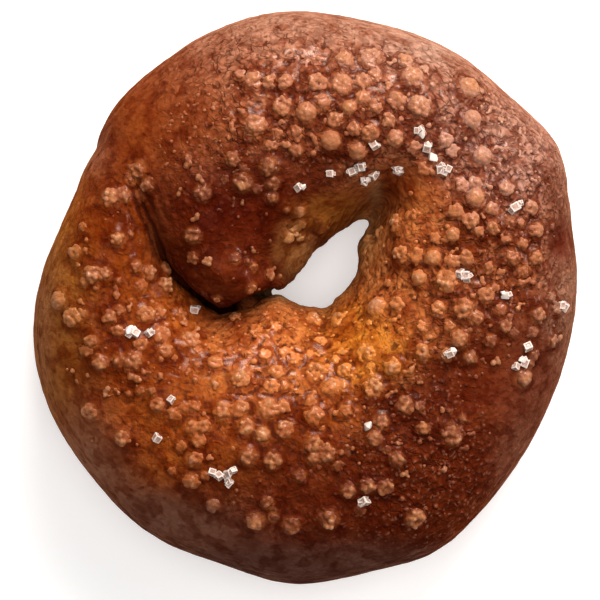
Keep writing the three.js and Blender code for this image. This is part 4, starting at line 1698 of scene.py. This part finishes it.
@dataclass(kw_only=True)
class Crystals(Piece):
    """Bare crystals of salt: small hollow-faced cubes that rest in the glaze."""

    salt: Salt
    grounds: list[Probe]
    name: str = "salt_crystals"
    slot: str = "salt"
    rise: float = 0.10
    bevel: float = 0.06
    bevel_rings: int = 2
    hollow_faced: float = 0.75
    steps: tuple[Pair, ...] = ((0.14, 0.0), (0.09, -0.06), (0.12, 0.01))
    breaks: tuple[tuple[Triple, float], ...] = (
        ((1, 1, 0.6), 0.40), ((-1, 0.7, -1), 0.46), ((0.5, -1, 0.9), 0.50),
    )
    hopper_edges: float = 1.3
    chipped_edges: float = 0.4
    stretch: Pair = (0.85, 1.15)
    main_size: Pair = (0.80, 1.0)
    growth_more: float = 2.6
    growth_size: Pair = (0.34, 0.62)
    growth_away: Pair = (0.8, 1.4)
    growth_rise: Pair = (-0.3, 0.5)
    growth_reach: float = 0.42
    worn: float = 0.10
    worn_size: float = 0.6
    edge_from: float = 0.28
    edge_width: float = 0.16

    def ground(self, foot: Foothold) -> Vector:
        """The highest point under a crystal's place."""
        hits = [ground.under(foot.point.x, foot.point.y) for ground in self.grounds]
        return max([foot.point, *(hit.point for hit in hits if hit)], key=lambda point: point.z)

    def start_cube(self) -> Object:
        """Adds a cube of side 1 and opens it for editing, with all of it selected.

        Returns:
            The cube.
        """
        bpy.ops.object.select_all(action="DESELECT")
        bpy.ops.mesh.primitive_cube_add(size=1.0)
        bpy.ops.object.mode_set(mode="EDIT")
        bpy.ops.mesh.select_all(action="SELECT")
        return bpy.context.object

    def finish_cube(self, obj: Object, sharpest: float) -> Shape:
        """Bevels a worked cube.

        Args:
            obj: the cube, open for editing.
            sharpest: the angle in radians past which an edge is bevelled.

        Returns:
            Its vertices and its faces.
        """
        bpy.ops.object.mode_set(mode="OBJECT")
        settings = {"limit_method": "ANGLE", "angle_limit": sharpest}
        finish_with(obj, "BEVEL", width=self.bevel, segments=self.bevel_rings, **settings)
        return take_apart(obj)

    def hopper(self) -> Shape:
        """Models a cube of side 1 whose faces have grown stepped hollows.

        Returns:
            Its vertices and its faces.
        """
        cube = self.start_cube()
        for border, sunk in self.steps:
            bpy.ops.mesh.inset(thickness=border, depth=sunk, use_individual=True)
        return self.finish_cube(cube, self.hopper_edges)

    def chipped(self) -> Shape:
        """Models a cube of side 1 that has broken at three corners.

        Returns:
            Its vertices and its faces.
        """
        cube = self.start_cube()
        cut = {"use_fill": True, "clear_outer": True, "threshold": 1e-4}
        for side, reach in self.breaks:
            way = Vector(side).normalized()
            bpy.ops.mesh.select_all(action="SELECT")
            bpy.ops.mesh.bisect(plane_co=way * reach, plane_no=way, **cut)
        return self.finish_cube(cube, self.chipped_edges)

    def grown(self, draws: Draws) -> list[tuple[float, Triple]]:
        """Draws a crystal and those that have grown into it.

        Args:
            draws: random numbers.

        Returns:
            The size and the offset of each.
        """
        made = [(draws.between(*self.main_size), (0.0, 0.0, 0.0))]
        for i in range(int(self.growth_more * draws.next())):
            turn = GOLDEN_ANGLE * i + draws.next()
            reach = draws.between(*self.growth_away)
            away = (reach * math.cos(turn), reach * math.sin(turn), draws.between(*self.growth_rise))
            made.append((draws.between(*self.growth_size), away))
        return made

    def shape(self) -> None:
        """Models each kind of crystal once and copies it to every place."""
        kinds = [self.hopper(), self.chipped()]
        draws = Draws(RANDOM_SEED + 4)
        points, faces, edges, count = [], [], [], 0
        for crystal in self.salt.crystals:
            middle = self.ground(crystal.foot) + crystal.foot.normal * self.rise * crystal.side
            for size, away in self.grown(draws):
                corners, sides = kinds[0] if draws.next() < self.hollow_faced else kinds[1]
                stretch = np.array([draws.between(*self.stretch) for _ in range(3)])
                tilt = Euler([crystal.tilt[i] + away[i] for i in range(3)], "XYZ").to_matrix()
                placed = (corners * (stretch * size * crystal.side)) @ np.array(tilt).T
                placed += np.array(middle) + self.growth_reach * crystal.side * np.array(away)
                wear = [cloud(placed, self.worn_size, Seed.WEAR + i) for i in range(3)]
                points.append(placed + self.worn * np.stack(wear, axis=1))
                faces += [tuple(corner + count for corner in side) for side in sides]
                outward = np.sort(np.abs(corners), axis=1)
                edges.append(np.clip((outward[:, 1] - self.edge_from) / self.edge_width, 0.0, 1.0))
                count += len(corners)
        self.obj = new_mesh_object(self.name, np.vstack(points), faces)
        write_marks(self.obj, "edge", np.concatenate(edges))

    def dress(self, shift: Vector) -> None:
        """Settles the crystals in their finish."""
        self.settle(CrystalFinish().make(), shift)


# Materials


SOFT_STEP = {"interpolation_type": "SMOOTHSTEP", "clamp": True}


class Scatter(Enum):
    """What a scatter of points tells of a place: how far the nearest point is, or the cell's border."""

    POINT = "SMOOTH_F1"
    BORDER = "DISTANCE_TO_EDGE"


class Sheet:
    """The node sheet of one material."""

    def __init__(self, name: str) -> None:
        """Starts an empty sheet with its output.

        Args:
            name: the material's name.
        """
        self.material = bpy.data.materials.new(name)
        self.material.use_nodes = True
        self.tree = self.material.node_tree
        self.tree.nodes.clear()
        self.output = self.tree.nodes.new("ShaderNodeOutputMaterial")

    def node(
        self, kind: str, settings: dict | None = None, sockets: dict | None = None
    ) -> bpy.types.Node:
        """Adds a node.

        Args:
            kind: the node's type without its common beginning.
            settings: its settings by name, set first.
            sockets: values or wires for its sockets, by name or by number.

        Returns:
            The node.
        """
        node = self.tree.nodes.new("ShaderNode" + kind)
        for name, value in (settings or {}).items():
            setattr(node, name, value)
        for name, value in (sockets or {}).items():
            if isinstance(value, Wire):
                self.tree.links.new(value.socket, node.inputs[name])
            else:
                node.inputs[name].default_value = value
        return node

    def wire(self, node: bpy.types.Node, output: str | int = 0) -> "Wire":
        """The wire that leaves a node."""
        return Wire(self, node.outputs[output])

    def mark(self, name: str, output: str = "Fac") -> "Wire":
        """What a piece keeps for each vertex."""
        node = self.node("Attribute", {"attribute_name": name, "attribute_type": "GEOMETRY"})
        return self.wire(node, output)

    def vector(self, operation: str, *values: "Wire | tuple", output: str | int = 0) -> "Wire":
        """The result of one Vector Math node."""
        node = self.node("VectorMath", {"operation": operation}, dict(enumerate(values)))
        return self.wire(node, output)

    def scaled(self, vector: "Wire", by: float) -> "Wire":
        """A vector times a number."""
        return self.wire(self.node("VectorMath", {"operation": "SCALE"}, {0: vector, "Scale": by}))

    def place(self) -> "Wire":
        """The place on the piece, in millimetres."""
        return self.scaled(self.wire(self.node("TexCoord"), "Object"), 1.0 / MM)

    def noise(self, place: "Wire", size: float, detail: float = 2.0, rough: float = 0.5) -> "Wire":
        """Soft noise from 0 to 1 with blots of about a size in millimetres, finer with more detail."""
        sockets = {"Vector": place, "Scale": 1.0 / size, "Detail": detail, "Roughness": rough}
        return self.wire(self.node("TexNoise", None, sockets))

    def warped(self, place: "Wire", size: float, by: float) -> "Wire":
        """A place shifted softly this way and that.

        Args:
            place: the place to shift.
            size: over how many millimetres the shift changes.
            by: how far it shifts, in millimetres.

        Returns:
            The shifted place.
        """
        sockets = {"Vector": place, "Scale": 1.0 / size, "Detail": 1.0}
        colour = self.wire(self.node("TexNoise", None, sockets), "Color")
        shift = self.vector("SUBTRACT", colour, (0.5, 0.5, 0.5))
        return self.vector("ADD", place, self.scaled(shift, by))

    def scatter(self, to: Scatter, place: "Wire", size: float) -> "Wire":
        """A distance in a scatter of points, as a share of its spacing.

        Args:
            to: what the distance is measured to.
            place: the place on the piece.
            size: the spacing, in millimetres.

        Returns:
            The distance.
        """
        sockets = {"Vector": place, "Scale": 1.0 / size}
        if to is Scatter.POINT:
            sockets["Smoothness"] = 0.4
        return self.wire(self.node("TexVoronoi", {"feature": to.value}, sockets), "Distance")

    def round_rim(self, place: "Wire", spread: float) -> "Wire":
        """A place measured round the ring and down its side, for streaks that run round it.

        Args:
            place: the place on the piece, in millimetres.
            spread: how fast the place changes round the ring. Small numbers make long streaks.

        Returns:
            The place as a vector for a noise.
        """
        flat = self.vector("MULTIPLY", place, (1.0, 1.0, 0.0))
        radius = self.vector("LENGTH", flat, output="Value")
        height = self.wire(self.node("SeparateXYZ", None, {0: place}), "Z")
        down = self.wire(self.node("CombineXYZ", None, {"Z": radius - height}))
        return self.vector("ADD", self.scaled(self.vector("NORMALIZE", flat), spread), down)

    def mixed(self, share: "Wire | float", first: "Wire | tuple", second: "Wire | tuple") -> "Wire":
        """A colour between two colours."""
        return self.blended("MIX", share, first, second)

    def blended(
        self, how: str, share: "Wire | float", first: "Wire | tuple", second: "Wire | tuple"
    ) -> "Wire":
        """Blends two colours.

        Args:
            how: the way to blend them, as Blender names it.
            share: how much of the blend shows, from 0 to 1.
            first: the colour underneath.
            second: the colour on top.

        Returns:
            The blended colour.
        """
        settings = {"data_type": "RGBA", "blend_type": how, "clamp_factor": True}
        full = [c if isinstance(c, Wire) else (*c, 1.0) for c in (first, second)]
        return self.wire(self.node("Mix", settings, {0: share, 6: full[0], 7: full[1]}), 2)

    def bump(self, height: "Wire") -> "Wire":
        """The surface's way, tilted by a height in millimetres."""
        sockets = {"Strength": 1.0, "Distance": MM, "Height": height}
        return self.wire(self.node("Bump", None, sockets))

    def finish(self, sockets: dict) -> Material:
        """Wires the shader to the output.

        Args:
            sockets: values or wires for the shader's sockets, by name.

        Returns:
            The material.
        """
        shader = self.node("BsdfPrincipled", None, sockets)
        self.tree.links.new(shader.outputs[0], self.output.inputs["Surface"])
        return self.material


@dataclass(frozen=True)
class Wire:
    """The output of a node, as a number that can be reckoned with."""

    sheet: Sheet
    socket: bpy.types.NodeSocket

    def math(self, operation: str, first: "Wire | float", second: "Wire | float") -> "Wire":
        """The result of one Math node."""
        return self.sheet.wire(self.sheet.node("Math", {"operation": operation}, {0: first, 1: second}))

    def __add__(self, other: "Wire | float") -> "Wire":
        """The sum."""
        return self.math("ADD", self, other)

    __radd__ = __add__

    def __sub__(self, other: "Wire | float") -> "Wire":
        """The difference."""
        return self.math("SUBTRACT", self, other)

    def __rsub__(self, other: "Wire | float") -> "Wire":
        """The difference from a number."""
        return self.math("SUBTRACT", other, self)

    def __mul__(self, other: "Wire | float") -> "Wire":
        """The product."""
        return self.math("MULTIPLY", self, other)

    __rmul__ = __mul__

    def larger(self, other: "Wire | float") -> "Wire":
        """The larger of two numbers."""
        return self.math("MAXIMUM", self, other)

    def size(self) -> "Wire":
        """The number without its sign."""
        return self.math("ABSOLUTE", self, 0.0)

    def between(self, low: float, high: float, to_low: float = 0.0, to_high: float = 1.0) -> "Wire":
        """A soft step: to_low up to low, and to_high from high on."""
        sockets = {0: self, 1: low, 2: high, 3: to_low, 4: to_high}
        return self.sheet.wire(self.sheet.node("MapRange", SOFT_STEP, sockets))


@dataclass(frozen=True)
class Skin:
    """What the crust's finish is mixed from: its sheet, its patterns and three of its marks."""

    sheet: Sheet
    cells: Wire
    folds: Wire
    grain: Wire
    blots: Wire
    pools: Wire
    flecks: Wire
    streaks: Wire
    crease: Wire
    wrinkled: Wire
    rim: Wire
    side: Wire


@dataclass(frozen=True)
class CrustFinish:
    """Glossy baked crust: mottled and finely wrinkled, with painted shade in its hollows and painted
    sheen on its ridges, and dull underneath.
    """

    # Painted shade in the seam's groove.
    crevice_shade: Triple = (0.016, 0.0022, 0.0010)
    # Painted shade in the hollows, the wrinkles' folds and the creases.
    fold: Triple = (0.055, 0.0075, 0.0022)
    # Salt bloom and painted sheen, for the ridges and the rim's streaks.
    bloom_and_sheen: Triple = (0.46, 0.21, 0.13)
    tan: Triple = (0.31, 0.098, 0.027)
    glaze: Triple = (0.56, 0.34, 0.25)
    blot: Triple = (0.62, 0.45, 0.36)
    fleck: Triple = (0.6, 0.42, 0.35)
    streak: Triple = (0.45, 0.34, 0.30)
    bare: Triple = Tone.CREAM.value
    base: Triple = Tone.BASE.value
    toasted: Triple = Tone.CHESTNUT.value
    roughness: float = 0.6
    coat: float = 0.58
    coat_roughness: float = 0.19
    shine: float = 0.0
    warp_size: float = 2.2
    warp: float = 1.6
    cell_size: float = 1.15
    fold_size: float = 1.7
    grain_size: float = 0.62
    blot_size: float = 9.0
    pool_size: float = 3.6
    fleck_size: float = 1.7
    streak_size: float = 0.95
    streak_spread: float = 14.0
    patch_size: float = 2.4
    crease_spacing: float = 1.9

    def skin(self) -> Skin:
        """Starts the sheet and lays out the patterns.

        Returns:
            What the finish is mixed from.
        """
        sheet = Sheet("baked_crust")
        place = sheet.place()
        bent = sheet.warped(place, self.warp_size, self.warp)
        patchy = sheet.noise(place, self.patch_size, 1.0).between(0.42, 0.58)
        border = sheet.scatter(Scatter.BORDER, bent, self.crease_spacing)
        wrinkled = sheet.mark("wrinkled")
        return Skin(
            sheet=sheet,
            cells=sheet.scatter(Scatter.POINT, bent, self.cell_size),
            folds=1.0 - (sheet.noise(bent, self.fold_size) - 0.5).size() * 6.0,
            grain=sheet.noise(bent, self.grain_size, 2.0, 0.55),
            blots=sheet.noise(place, self.blot_size, 3.0, 0.6),
            pools=sheet.noise(bent, self.pool_size),
            flecks=sheet.noise(place, self.fleck_size),
            streaks=sheet.noise(sheet.round_rim(bent, self.streak_spread), self.streak_size, 3.0, 0.6),
            crease=border.between(0.0, 0.11, 1.0, 0.0) * patchy * wrinkled.between(0.2, 0.8),
            wrinkled=wrinkled,
            rim=sheet.mark("rim"),
            side=sheet.mark("side"),
        )

    def browned(self, skin: Skin) -> Wire:
        """Mixes the tone, tan by the salt, pooled glaze with painted shade round it, and darker where the
        glaze pooled or it browned more.

        Args:
            skin: what to mix from.

        Returns:
            The colour.
        """
        sheet = skin.sheet
        salted = sheet.mark("salted")
        ring = salted.between(0.05, 0.3) * salted.between(0.5, 0.85, 1.0, 0.0)
        mottled = 1.0 - (0.75 * skin.side).larger(0.5 * skin.rim)
        colour = sheet.mark("tone", "Color")
        colour = sheet.mixed(salted.between(0.35, 0.95, 0.0, 0.65), colour, self.tan)
        for share, tint in (
            # A ring round each lump: pooled glaze and painted shade.
            (ring * (0.45 + 0.55 * skin.wrinkled) * 0.8, self.glaze),
            (skin.pools.between(0.47, 0.62) * 0.75 * mottled, self.glaze),
            (skin.blots.between(0.42, 0.7) * mottled, self.blot),
            (skin.flecks.between(0.5, 0.72) * 0.6 * mottled, self.fleck),
        ):
            colour = sheet.blended("MULTIPLY", share, colour, tint)
        return colour

    def weathered(self, skin: Skin, colour: Wire) -> Wire:
        """Adds the rim's streaks, pale bloom and painted sheen on the ridges and streaks, and painted
        shade in the hollows and the seam.

        Args:
            skin: what to mix from.
            colour: the browned crust.

        Returns:
            The colour with them.
        """
        sheet = skin.sheet
        lined = skin.rim * (1.0 - skin.side)
        streaked = skin.streaks.between(0.36, 0.52, 1.0, 0.0) * lined
        colour = sheet.blended("MULTIPLY", streaked, colour, self.streak)
        # Painted sheen along the rim's lighter streaks.
        colour = sheet.mixed(skin.streaks.between(0.52, 0.68) * lined * 0.25, colour, self.bloom_and_sheen)
        # Salt bloom and painted sheen on the ridges of the wrinkles.
        ridge_sheen = skin.cells.between(0.12, 0.40, 1.0, 0.0) * skin.wrinkled.between(0.2, 0.9)
        colour = sheet.mixed(ridge_sheen * 0.30, colour, self.bloom_and_sheen)
        # Painted shade in the hollows, in the wrinkles' folds and in the creases, less of it on the rim.
        painted_shade = sheet.mark("hollow").between(0.0, 0.45) * 0.8
        painted_shade = painted_shade.larger(skin.cells.between(0.40, 0.72) * skin.wrinkled * 0.60)
        painted_shade = painted_shade.larger(skin.crease * 0.7) * (1.0 - 0.6 * skin.rim)
        colour = sheet.mixed(painted_shade, colour, self.fold)
        # Painted shade in the seam's groove.
        return sheet.mixed(sheet.mark("crevice_shade") * 0.95, colour, self.crevice_shade)

    def uncovered(self, skin: Skin, colour: Wire) -> Wire:
        """Adds the pale bare skin and the toasted underside.

        Args:
            skin: what to mix from.
            colour: the glazed crust.

        Returns:
            The colour with them.
        """
        sheet = skin.sheet
        bare = sheet.mark("bare") * skin.flecks.between(0.3, 0.6, 0.6, 1.0)
        colour = sheet.mixed(bare, colour, self.bare)
        under = sheet.mixed(skin.blots.between(0.35, 0.75, 0.0, 0.6), self.base, self.toasted)
        return sheet.mixed(sheet.mark("underside"), colour, under)

    def relief(self, skin: Skin) -> Wire:
        """Mixes the fine relief.

        Args:
            skin: what to mix from.

        Returns:
            The height, in millimetres.
        """
        wrinkles = skin.wrinkled * (0.62 * (0.5 - skin.cells) + 0.24 * skin.folds)
        height = wrinkles - 0.20 * skin.crease + 0.26 * skin.grain + 0.20 * skin.flecks
        return height + 0.45 * skin.rim * skin.streaks

    def make(self) -> Material:
        """Makes the material.

        Returns:
            The material, which reads the crust's marks.
        """
        skin = self.skin()
        sheet = skin.sheet
        dull = sheet.mark("underside").larger(sheet.mark("bare") * 0.7)
        dull = dull.larger(sheet.mark("dull")).larger(sheet.mark("crevice_shade"))
        return sheet.finish(
            {
                "Base Color": self.uncovered(skin, self.weathered(skin, self.browned(skin))),
                "Roughness": self.roughness + 0.14 * skin.flecks + 0.22 * dull,
                "Coat Weight": (1.0 - dull) * skin.blots.between(0.3, 0.7, self.coat, 0.4 * self.coat),
                "Coat Roughness": self.coat_roughness,
                "Specular IOR Level": self.shine,
                "Normal": sheet.bump(self.relief(skin)),
            }
        )


@dataclass(frozen=True)
class GlazedSaltFinish:
    """Salt under glaze: tan where it stands out, the colour of the crust at its foot, and painted shade
    between its knobs and where it meets the crust.
    """

    tan: Triple = (0.38, 0.125, 0.034)
    golden: Triple = (0.50, 0.240, 0.105)
    rosy: Triple = (0.47, 0.245, 0.150)
    # Painted shade between the knobs and at the foot.
    crevice_shade: Triple = (0.190, 0.042, 0.0070)
    roughness: float = 0.5
    coat: float = 0.8
    coat_roughness: float = 0.16
    shine: float = 0.35
    glow: float = 0.25
    glow_reach: Triple = (1.0, 0.45, 0.25)
    glow_size: float = 0.8
    blot_size: float = 1.6
    grain_size: float = 0.45

    def make(self) -> Material:
        """Makes the material.

        Returns:
            The material, which reads the lumps' marks.
        """
        sheet = Sheet("glazed_salt")
        place = sheet.place()
        above, shade, hollow = sheet.mark("above"), sheet.mark("shade"), sheet.mark("hollow")
        blots = sheet.noise(place, self.blot_size)
        grain = sheet.noise(place, self.grain_size, 3.0, 0.6)
        tone, thin = sheet.mark("tone", "Color"), 1.0 - sheet.mark("glazed")
        colour = sheet.mixed(above.between(0.0, 0.9), tone, self.tan)
        # Less pale in the hollows between knobs, as painted shade.
        stands = above.between(0.2, 1.1) * hollow.between(-0.3, 0.2, 1.0, 0.35)
        pale = sheet.mixed(shade, self.golden, self.rosy)
        colour = sheet.mixed(stands * blots.between(0.35, 0.6, 0.45, 1.0) * thin, colour, pale)
        colour = sheet.mixed(0.25 * shade + 0.5 * (1.0 - thin), colour, tone)
        # Painted shade between the knobs and where the lump meets the crust.
        painted_shade = hollow.between(0.0, 0.45, 0.0, 0.85).larger(above.between(-0.05, 0.12, 0.4, 0.0))
        colour = sheet.mixed(painted_shade, colour, self.crevice_shade)
        height = 0.22 * grain + 0.16 * blots
        return sheet.finish(
            {
                "Base Color": colour,
                "Roughness": self.roughness + 0.2 * blots,
                "Coat Weight": blots.between(0.2, 0.8, self.coat, 0.5 * self.coat),
                "Coat Roughness": self.coat_roughness,
                "Specular IOR Level": self.shine,
                "Subsurface Weight": self.glow,
                "Subsurface Radius": self.glow_reach,
                "Subsurface Scale": self.glow_size * MM,
                "Normal": sheet.bump(height),
            }
        )


@dataclass(frozen=True)
class CrystalFinish:
    """Bare salt: clear inside, with bright milky edges."""

    clear: Triple = (0.50, 0.32, 0.25)
    milky: Triple = (0.90, 0.76, 0.68)
    roughness: float = 0.20
    transmission: float = 0.20
    glow: float = 0.35
    glow_reach: Triple = (1.0, 0.85, 0.75)
    glow_size: float = 0.7
    ior: float = 1.54
    vein_size: float = 0.5

    def make(self) -> Material:
        """Makes the material.

        Returns:
            The material, which reads the crystals' marks.
        """
        sheet = Sheet("bare_salt")
        place = sheet.place()
        edge = sheet.mark("edge")
        veins = sheet.noise(place, self.vein_size, 3.0, 0.6)
        milk = edge.larger(veins.between(0.5, 0.7) * 0.5)
        return sheet.finish(
            {
                "Base Color": sheet.mixed(milk, self.clear, self.milky),
                "Roughness": self.roughness + 0.25 * milk,
                "Transmission Weight": self.transmission,
                "IOR": self.ior,
                "Subsurface Weight": self.glow,
                "Subsurface Radius": self.glow_reach,
                "Subsurface Scale": self.glow_size * MM,
                "Normal": sheet.bump(0.05 * veins),
            }
        )


# The room


@dataclass(frozen=True)
class Lamp:
    """A soft square lamp that faces the bagel. It gives either the light or the glints in the gloss."""

    name: str
    place: Triple
    side: float
    power_watts: float
    colour: Triple
    for_glints: bool = False

    def hang(self) -> None:
        """Adds the lamp to the scene."""
        light = bpy.data.lights.new(self.name, "AREA")
        light.size = self.side
        light.energy = self.power_watts
        light.color = self.colour
        obj = bpy.data.objects.new(self.name, light)
        obj.location = self.place
        obj.rotation_euler = (-Vector(self.place)).to_track_quat("-Z", "Y").to_euler()
        obj.visible_glossy = self.for_glints
        obj.visible_diffuse = not self.for_glints
        bpy.context.scene.collection.objects.link(obj)


LAMPS = (
    Lamp("key", (0.22, 0.80, 0.62), 0.62, 16.0, (1.0, 0.94, 0.89)),
    Lamp("window", (0.85, 0.22, 0.38), 0.60, 4.0, (1.0, 0.93, 0.89)),
    Lamp("overhead", (0.0, 0.0, 1.40), 0.70, 8.0, (1.0, 0.98, 0.96)),
    Lamp("glint", (0.22, 0.80, 0.62), 0.36, 15.0, (1.0, 0.79, 0.70), for_glints=True),
    Lamp("side_glint", (0.85, 0.22, 0.50), 0.16, 1.2, (1.0, 0.79, 0.70), for_glints=True),
)


@dataclass
class Room:
    """A pale floor, soft studio light and the camera that looks straight down."""

    floor_side: float = 4.0
    floor_colour: Triple = (0.72, 0.72, 0.72)
    floor_roughness: float = 0.7
    floor_glow: float = 0.45
    sky_colour: Triple = (1.0, 0.98, 0.96)
    sky_strength: float = 0.26
    camera_height: float = 1.0
    camera_start: float = 0.05
    sensor: float = 36.0
    view_side: float = 0.120
    view_height: float = 0.0165
    picture_middle: Pair = (-1.3, -0.7)

    def build(self, shift: Vector) -> None:
        """Adds the floor, the lights and the camera.

        Args:
            shift: from the plan's place to the bagel's, in metres.
        """
        self.lay_floor()
        for lamp in LAMPS:
            lamp.hang()
        self.light_sky()
        self.set_camera(shift)
        bpy.context.scene.view_settings.view_transform = "Standard"

    def lay_floor(self) -> None:
        """Adds the floor, which the gloss doesn't mirror."""
        bpy.ops.object.select_all(action="DESELECT")
        bpy.ops.mesh.primitive_plane_add(size=self.floor_side)
        floor = bpy.context.object
        floor.name = "floor"
        paint = {
            "Base Color": (*self.floor_colour, 1.0),
            "Roughness": self.floor_roughness,
            "Specular IOR Level": 0.0,
            "Emission Color": (1.0, 1.0, 1.0, 1.0),
            "Emission Strength": self.floor_glow,
        }
        floor.data.materials.append(Sheet("pale_floor").finish(paint))
        floor.visible_glossy = False

    def light_sky(self) -> None:
        """Adds the faint light from all sides, which the gloss doesn't mirror."""
        world = bpy.data.worlds.new("studio")
        bpy.context.scene.world = world
        world.use_nodes = True
        world.cycles_visibility.glossy = False
        sky = world.node_tree.nodes["Background"]
        sky.inputs["Color"].default_value = (*self.sky_colour, 1.0)
        sky.inputs["Strength"].default_value = self.sky_strength

    def set_camera(self, shift: Vector) -> None:
        """Adds the camera over the middle of the picture.

        Args:
            shift: from the plan's place to the bagel's, in metres.
        """
        camera = bpy.data.cameras.new("camera")
        reach = self.camera_height - self.view_height
        camera.sensor_width = self.sensor
        camera.lens = self.sensor * reach / self.view_side
        camera.clip_start = self.camera_start
        obj = bpy.data.objects.new("camera", camera)
        x, y = self.picture_middle
        obj.location = (x * MM + shift.x, y * MM + shift.y, self.camera_height)
        bpy.context.scene.collection.objects.link(obj)
        bpy.context.scene.camera = obj


# Putting it together


def shift_of(crust: Crust) -> Vector:
    """Measures how far the plan lies from the bagel's frame.

    Args:
        crust: the modelled crust, in millimetres in the plan's place.

    Returns:
        From the plan's place to the bagel's, in metres.
    """
    low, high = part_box(NODE)
    points = points_of(crust.obj)
    middle = (low + high) / 2
    own = (points.min(axis=0) + points.max(axis=0)) / 2 * MM
    return Vector((middle.x - own[0], middle.y - own[1], 0.0))


def main() -> None:
    """Models the pieces in the plan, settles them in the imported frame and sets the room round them."""
    logging.basicConfig(level=logging.INFO, format="%(name)s: %(message)s")
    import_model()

    crust = Crust(rope=Rope())
    crust.shape()
    probe = Probe(crust.obj)
    salt = Salt(probe)
    LOG.info("%d lumps and %d crystals", len(salt.lumps), len(salt.crystals))
    crust.work_relief(salt)
    draws = Draws(RANDOM_SEED + 3)
    lumps = SaltLumps(salt=salt, probe=probe, draws=draws)
    grains = SaltGrains(salt=salt, probe=probe, draws=draws)
    for glazed in (lumps, grains):
        glazed.shape()
        glazed.roughen(crust.obj)
    crystals = Crystals(salt=salt, grounds=[Probe(crust.obj), Probe(lumps.obj)])
    crystals.shape()

    shift = shift_of(crust)
    LOG.info("shift %.5f %.5f", shift.x, shift.y)
    crust.dress(shift)
    skin = GlazedSaltFinish().make()
    lumps.dress(skin, shift)
    grains.dress(skin, shift)
    crystals.dress(shift)
    Room().build(shift)


if __name__ == "__main__":
    main()
